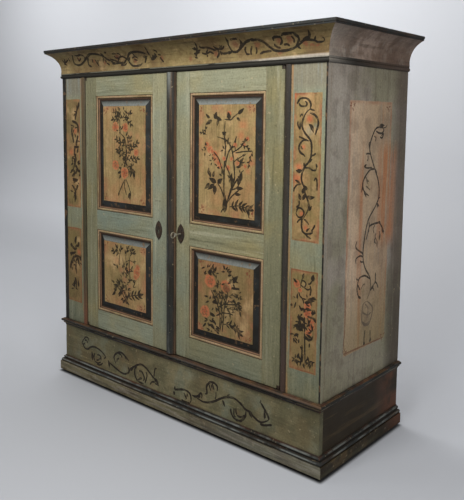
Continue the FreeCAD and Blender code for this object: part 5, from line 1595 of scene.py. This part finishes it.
def side_paint(name, node, seed):
    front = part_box("plinth_front")[0].y
    near = front + SIDE_PANEL_FRONT
    far = front + SIDE_PANEL_BACK
    paint = Paint(name, SIDE)
    paint.mottle(2.6, 0.42, 0.62, seed, SIDE_GREEN, 0.8)
    # Painted shade: darker and greener towards the foot.
    paint.fade("Z", SIDE_FOOT_SHADE, SIDE_GREEN, 0.6)
    # Browner and darker towards the rear: brown paint and painted shade.
    paint.fade("Y", BROWN_SHADED_REAR, SIDE_BROWN, 0.75, start=far)
    paint.streak("Z", 26, 0.5, 0.72, seed, SIDE_BROWN, 0.45)
    paint.streak("Z", 48, 0.55, 0.72, seed + 2, SAGE_PALE, 0.3)
    # Painted light: paler in front of the panel.
    before = paint.slope("Y", *LIT_FRONT_STRIP, near)
    paint.fade("Z", LIT_FRONT, SIDE_PALE, 0.55, before)
    # Painted shade: darker behind the panel, low down.
    behind = paint.slope("Y", *SHADED_REAR_STRIP, far)
    paint.fade("Z", REAR_SHADE, GRIME_AND_SHADE, 0.4, behind)
    paint.fade("Z", SIDE_HEAD, SIDE_BROWN, 0.14)
    paint.mottle(12, 0.48, 0.64, seed + 3, SIDE_BROWN, 0.3)
    panel = paint.patch("Y", near, far, "Z", SIDE_PANEL_LOW, SIDE_PANEL_HIGH, SIDE_SOFT, SIDE_WOBBLE)
    paint.cover(panel, SIDE_PANEL, 0.85)
    # The panel paler in front, as painted light, and browner at the back, as brown paint and painted shade.
    paint.fade("Y", (PANEL_LIGHT_AND_SHADE, 0.0), SIDE_PANEL_PALE, 0.6, panel, near)
    paint.fade("Y", (-PANEL_LIGHT_AND_SHADE, 0.0), WORN_BROWN, 0.25, panel, far)
    paint.mottle(9, 0.46, 0.64, seed + 8, SIDE_BROWN, 0.3, panel)
    paint.streak("Z", 16, 0.52, 0.7, seed + 5, SIDE_ORANGE, 0.7, panel)
    paint.streak("Z", 44, 0.5, 0.7, seed + 6, SIDE, 0.5, panel)
    rim = paint.rim(panel, "Y", near, far, SIDE_PANEL_LOW, SIDE_PANEL_HIGH,
                    SIDE_RIM_ACROSS, SIDE_RIM_UP, SIDE_RIM_SOFT, SIDE_WOBBLE)
    paint.mottle(9, 0.4, 0.6, seed, FIELD_PINK, 0.5, rim)
    # The panel's olive foot, olive paint darkened as painted shade.
    paint.fade("Z", PANEL_FOOT_SHADE, FIELD_OLIVE, 0.6, panel)
    orange = paint.patch("Y", far + ORANGE_ACROSS[0], far + ORANGE_ACROSS[1],
                         "Z", *ORANGE_HEIGHTS, ORANGE_SOFT)
    paint.streak("Z", 30, 0.36, 0.54, seed, SIDE_ORANGE, 0.85, orange)
    paint.fleck(50, 0.7, 0.75, seed, WORN_PALE_AND_HIGHLIGHT, 0.5)
    outer = max(abs(corner.x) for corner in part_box(node))
    from_middle = paint.math("ABSOLUTE", paint.along("X"), 0.0)
    paint.bare(paint.math("LESS_THAN", from_middle, outer - BARE_DEPTH), seed)
    return paint


def sides():
    for side, seed in (("left", 5), ("right", 9)):
        painted(side_paint, side + "_side", seed, "Z", "carcass", "side_paint", side_vine)


# How dull bare wood is, at its least and most, and how deep its grain
BARE_GLOSS = (0.6, 0.85)
BARE_GRAIN = 0.0008


def bare_wood(name, grain, seed):
    paint = Paint(name, BARE_WOOD)
    paint.mottle(2.5, 0.4, 0.65, seed, BARE_WOOD_GREY, 0.8)
    paint.streak(grain, 46, 0.5, 0.72, seed, BARE_WOOD_DARK, 0.45)
    paint.streak(grain, 120, 0.5, 0.66, seed + 1, BARE_WOOD_GREY, 0.6)
    paint.fleck(14, 0.70, 0.76, seed + 2, GRIME_AND_SHADE, 0.6)
    return paint


# Numbers of boards, as modelled in the solids, and the dark edge of each board, in shares of its width
BACK_BOARD_COUNT = 6
LEVEL_BOARD_COUNT = 4
BOARD_JOINT = (0.018, 0.006)


def boarded(node, axis, count, grain, seed):
    # A row of boards, each in a tone of its own, with dark lines where they meet.
    low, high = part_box(node)
    index = "XYZ".index(axis)
    paint = bare_wood(node + "_wood", grain, seed)
    from_start = paint.math("SUBTRACT", paint.along(axis), low[index])
    place = paint.math("MULTIPLY", from_start, count / (high[index] - low[index]))
    tone = paint.make("ShaderNodeTexWhiteNoise")
    tone.noise_dimensions = "1D"
    feed(paint.tree, tone.inputs["W"], paint.math("FLOOR", place, 0.0))
    paint.cover(tone.outputs["Value"], BARE_WOOD_DARK, 0.5)
    within = paint.math("FRACT", place, 0.0)
    from_edge = paint.math("MINIMUM", within, paint.math("SUBTRACT", 1.0, within))
    paint.cover(paint.ramp(from_edge, *BOARD_JOINT), GRIME_AND_SHADE, 0.85)
    dress(paint.finish(grain, BARE_GLOSS, BARE_GRAIN), node)


def hidden_wood():
    boarded("back_boards", "X", BACK_BOARD_COUNT, "Z", 6)
    boarded("top_boards", "Y", LEVEL_BOARD_COUNT, "X", 3)
    boarded("floor_boards", "Y", LEVEL_BOARD_COUNT, "X", 4)
    for name, grain, seed, nodes in (
        ("level_wood", "X", 3, ("shelves", "head_rail", "rear_top_rail", "plinth_back")),
        ("upright_wood", "Z", 6, ("corner_block_feet",)),
        ("cleat_wood", "Y", 8, ("shelf_cleats", "floor_cleats")),
    ):
        dress(bare_wood(name, grain, seed).finish(grain, BARE_GLOSS, BARE_GRAIN), *nodes)


IRON_NODES = (
    "lock_bolt", "slide_bolt", "slide_bolt_plate", "bolt_keeper", "lock_case", "left_escutcheon",
    "right_escutcheon", "pivot_sockets", "left_door_pivots", "right_door_pivots",
)


def ironwork():
    iron = Paint("rusty_iron", IRON)
    iron.mottle(60, 0.44, 0.62, 1, IRON_RUST, 0.6)
    iron.fleck(240, 0.56, 0.66, 3, DARK, 0.7)
    dress(iron.finish("Z", (0.4, 0.7), 0.0005, 0.75), *IRON_NODES)
    steel = Paint("worn_steel", STEEL)
    steel.mottle(120, 0.45, 0.62, 2, STEEL_DULL, 0.7)
    dress(steel.finish("Y", (0.3, 0.5), 0.0003, 0.6), "key")


# Painted shadow: its reach past the base, how softly it ends, and where painted shade darkens the floor to
# the left
FOOT_SHADE_REACH = 0.006
FOOT_SHADE_SOFT = 0.012
FLOOR_SHADE_LEFT = (1.0, -1.6)
FLOOR_SHADE_HEIGHTS = (0.4, 0.0)


def floor_paint():
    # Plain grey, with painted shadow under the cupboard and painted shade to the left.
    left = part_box("base_moulding_left")[0].x - FOOT_SHADE_REACH
    right, back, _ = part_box("base_moulding_right")[1]
    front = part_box("base_moulding_front")[0].y - FOOT_SHADE_REACH
    paint = Paint("studio_grey", FLOOR_GREY)
    under = paint.patch("X", left, right + FOOT_SHADE_REACH, "Y", front, back, FOOT_SHADE_SOFT)
    # Painted shade, darker to the left on the floor.
    paint.fade("Z", FLOOR_SHADE_HEIGHTS, INK_AND_SHADOW, 0.2, paint.slope("X", *FLOOR_SHADE_LEFT))
    # Painted shadow under and just around the base.
    paint.cover(under, INK_AND_SHADOW, 0.93)
    feed(paint.tree, paint.shader.inputs["Base Color"], paint.colour)
    paint.shader.inputs["Roughness"].default_value = 0.8
    return paint.material


# The floor runs from in front, bends up and ends as a wall
FLOOR_FRONT = -7.0
FLOOR_HALF_WIDTH = 9.0
WALL_BEND = 1.2
BEND_STEPS = 8
WALL_Y = 2.6
WALL_TOP = 5.0

# Each light's name, place, target, width and power
LIGHTS = (
    ("key_light", (0.8, -1.8, 3.1), (0.2, -0.3, 1.4), 1.3, 66),
    ("window_light", (-2.8, -3.2, 2.9), (0.0, -0.3, 1.2), 2.6, 32),
    ("side_light", (3.6, -2.2, 3.3), (0.9, -0.1, 1.5), 1.4, 72),
    ("backdrop_light", (-1.2, 0.6, 3.9), (-1.2, 2.6, 1.2), 2.4, 110),
    ("far_backdrop_light", (-5.0, 0.4, 3.7), (-5.4, 2.6, 1.3), 2.4, 84),
)
SKY = srgb(230, 232, 238)
SKY_STRENGTH = 0.2


def studio():
    # A pale floor that sweeps up into a plain backdrop, a large soft key light and gentle fill.
    rows = [(FLOOR_FRONT, 0.0), (WALL_Y - WALL_BEND, 0.0)]
    for step in range(1, BEND_STEPS + 1):
        angle = math.pi / 2 * step / BEND_STEPS
        rows.append((WALL_Y - WALL_BEND + WALL_BEND * math.sin(angle),
                     WALL_BEND - WALL_BEND * math.cos(angle)))
    rows.append((WALL_Y, WALL_TOP))
    verts = [(x, y, z) for x in (-FLOOR_HALF_WIDTH, FLOOR_HALF_WIDTH) for y, z in rows]
    count = len(rows)
    mesh = bpy.data.meshes.new("studio_floor")
    mesh.from_pydata(verts, [], [(i, i + 1, count + i + 1, count + i) for i in range(count - 1)])
    for polygon in mesh.polygons:
        polygon.use_smooth = True
    mesh.materials.append(floor_paint())
    floor = add("studio_floor", mesh)
    for name, place, target, size, power in LIGHTS:
        data = bpy.data.lights.new(name, "AREA")
        data.shape = "DISK"
        data.size = size
        data.energy = power
        lamp = add(name, data)
        lamp.location = place
        lamp.rotation_euler = (Vector(target) - Vector(place)).to_track_quat("-Z", "Y").to_euler()
    world = bpy.data.worlds.new("studio_world")
    world.use_nodes = True
    sky = world.node_tree.nodes["Background"].inputs
    sky["Color"].default_value = SKY
    sky["Strength"].default_value = SKY_STRENGTH
    bpy.context.scene.world = world


def camera():
    data = bpy.data.cameras.new("camera")
    data.lens = CAMERA_LENS
    data.shift_x, data.shift_y = CAMERA_SHIFT
    right = CAMERA_FORWARD.cross(CAMERA_UP).normalized()
    turn = Matrix((right, CAMERA_UP, -CAMERA_FORWARD)).transposed().to_4x4()
    viewer = add("camera", data)
    viewer.matrix_world = Matrix.Translation(CAMERA_PLACE) @ turn
    bpy.context.scene.camera = viewer


door_frames()
door_panels()
pilasters()
frieze()
plinth()
sides()
hidden_wood()
ironwork()
studio()
camera()
bpy.context.scene.view_settings.view_transform = "Standard"
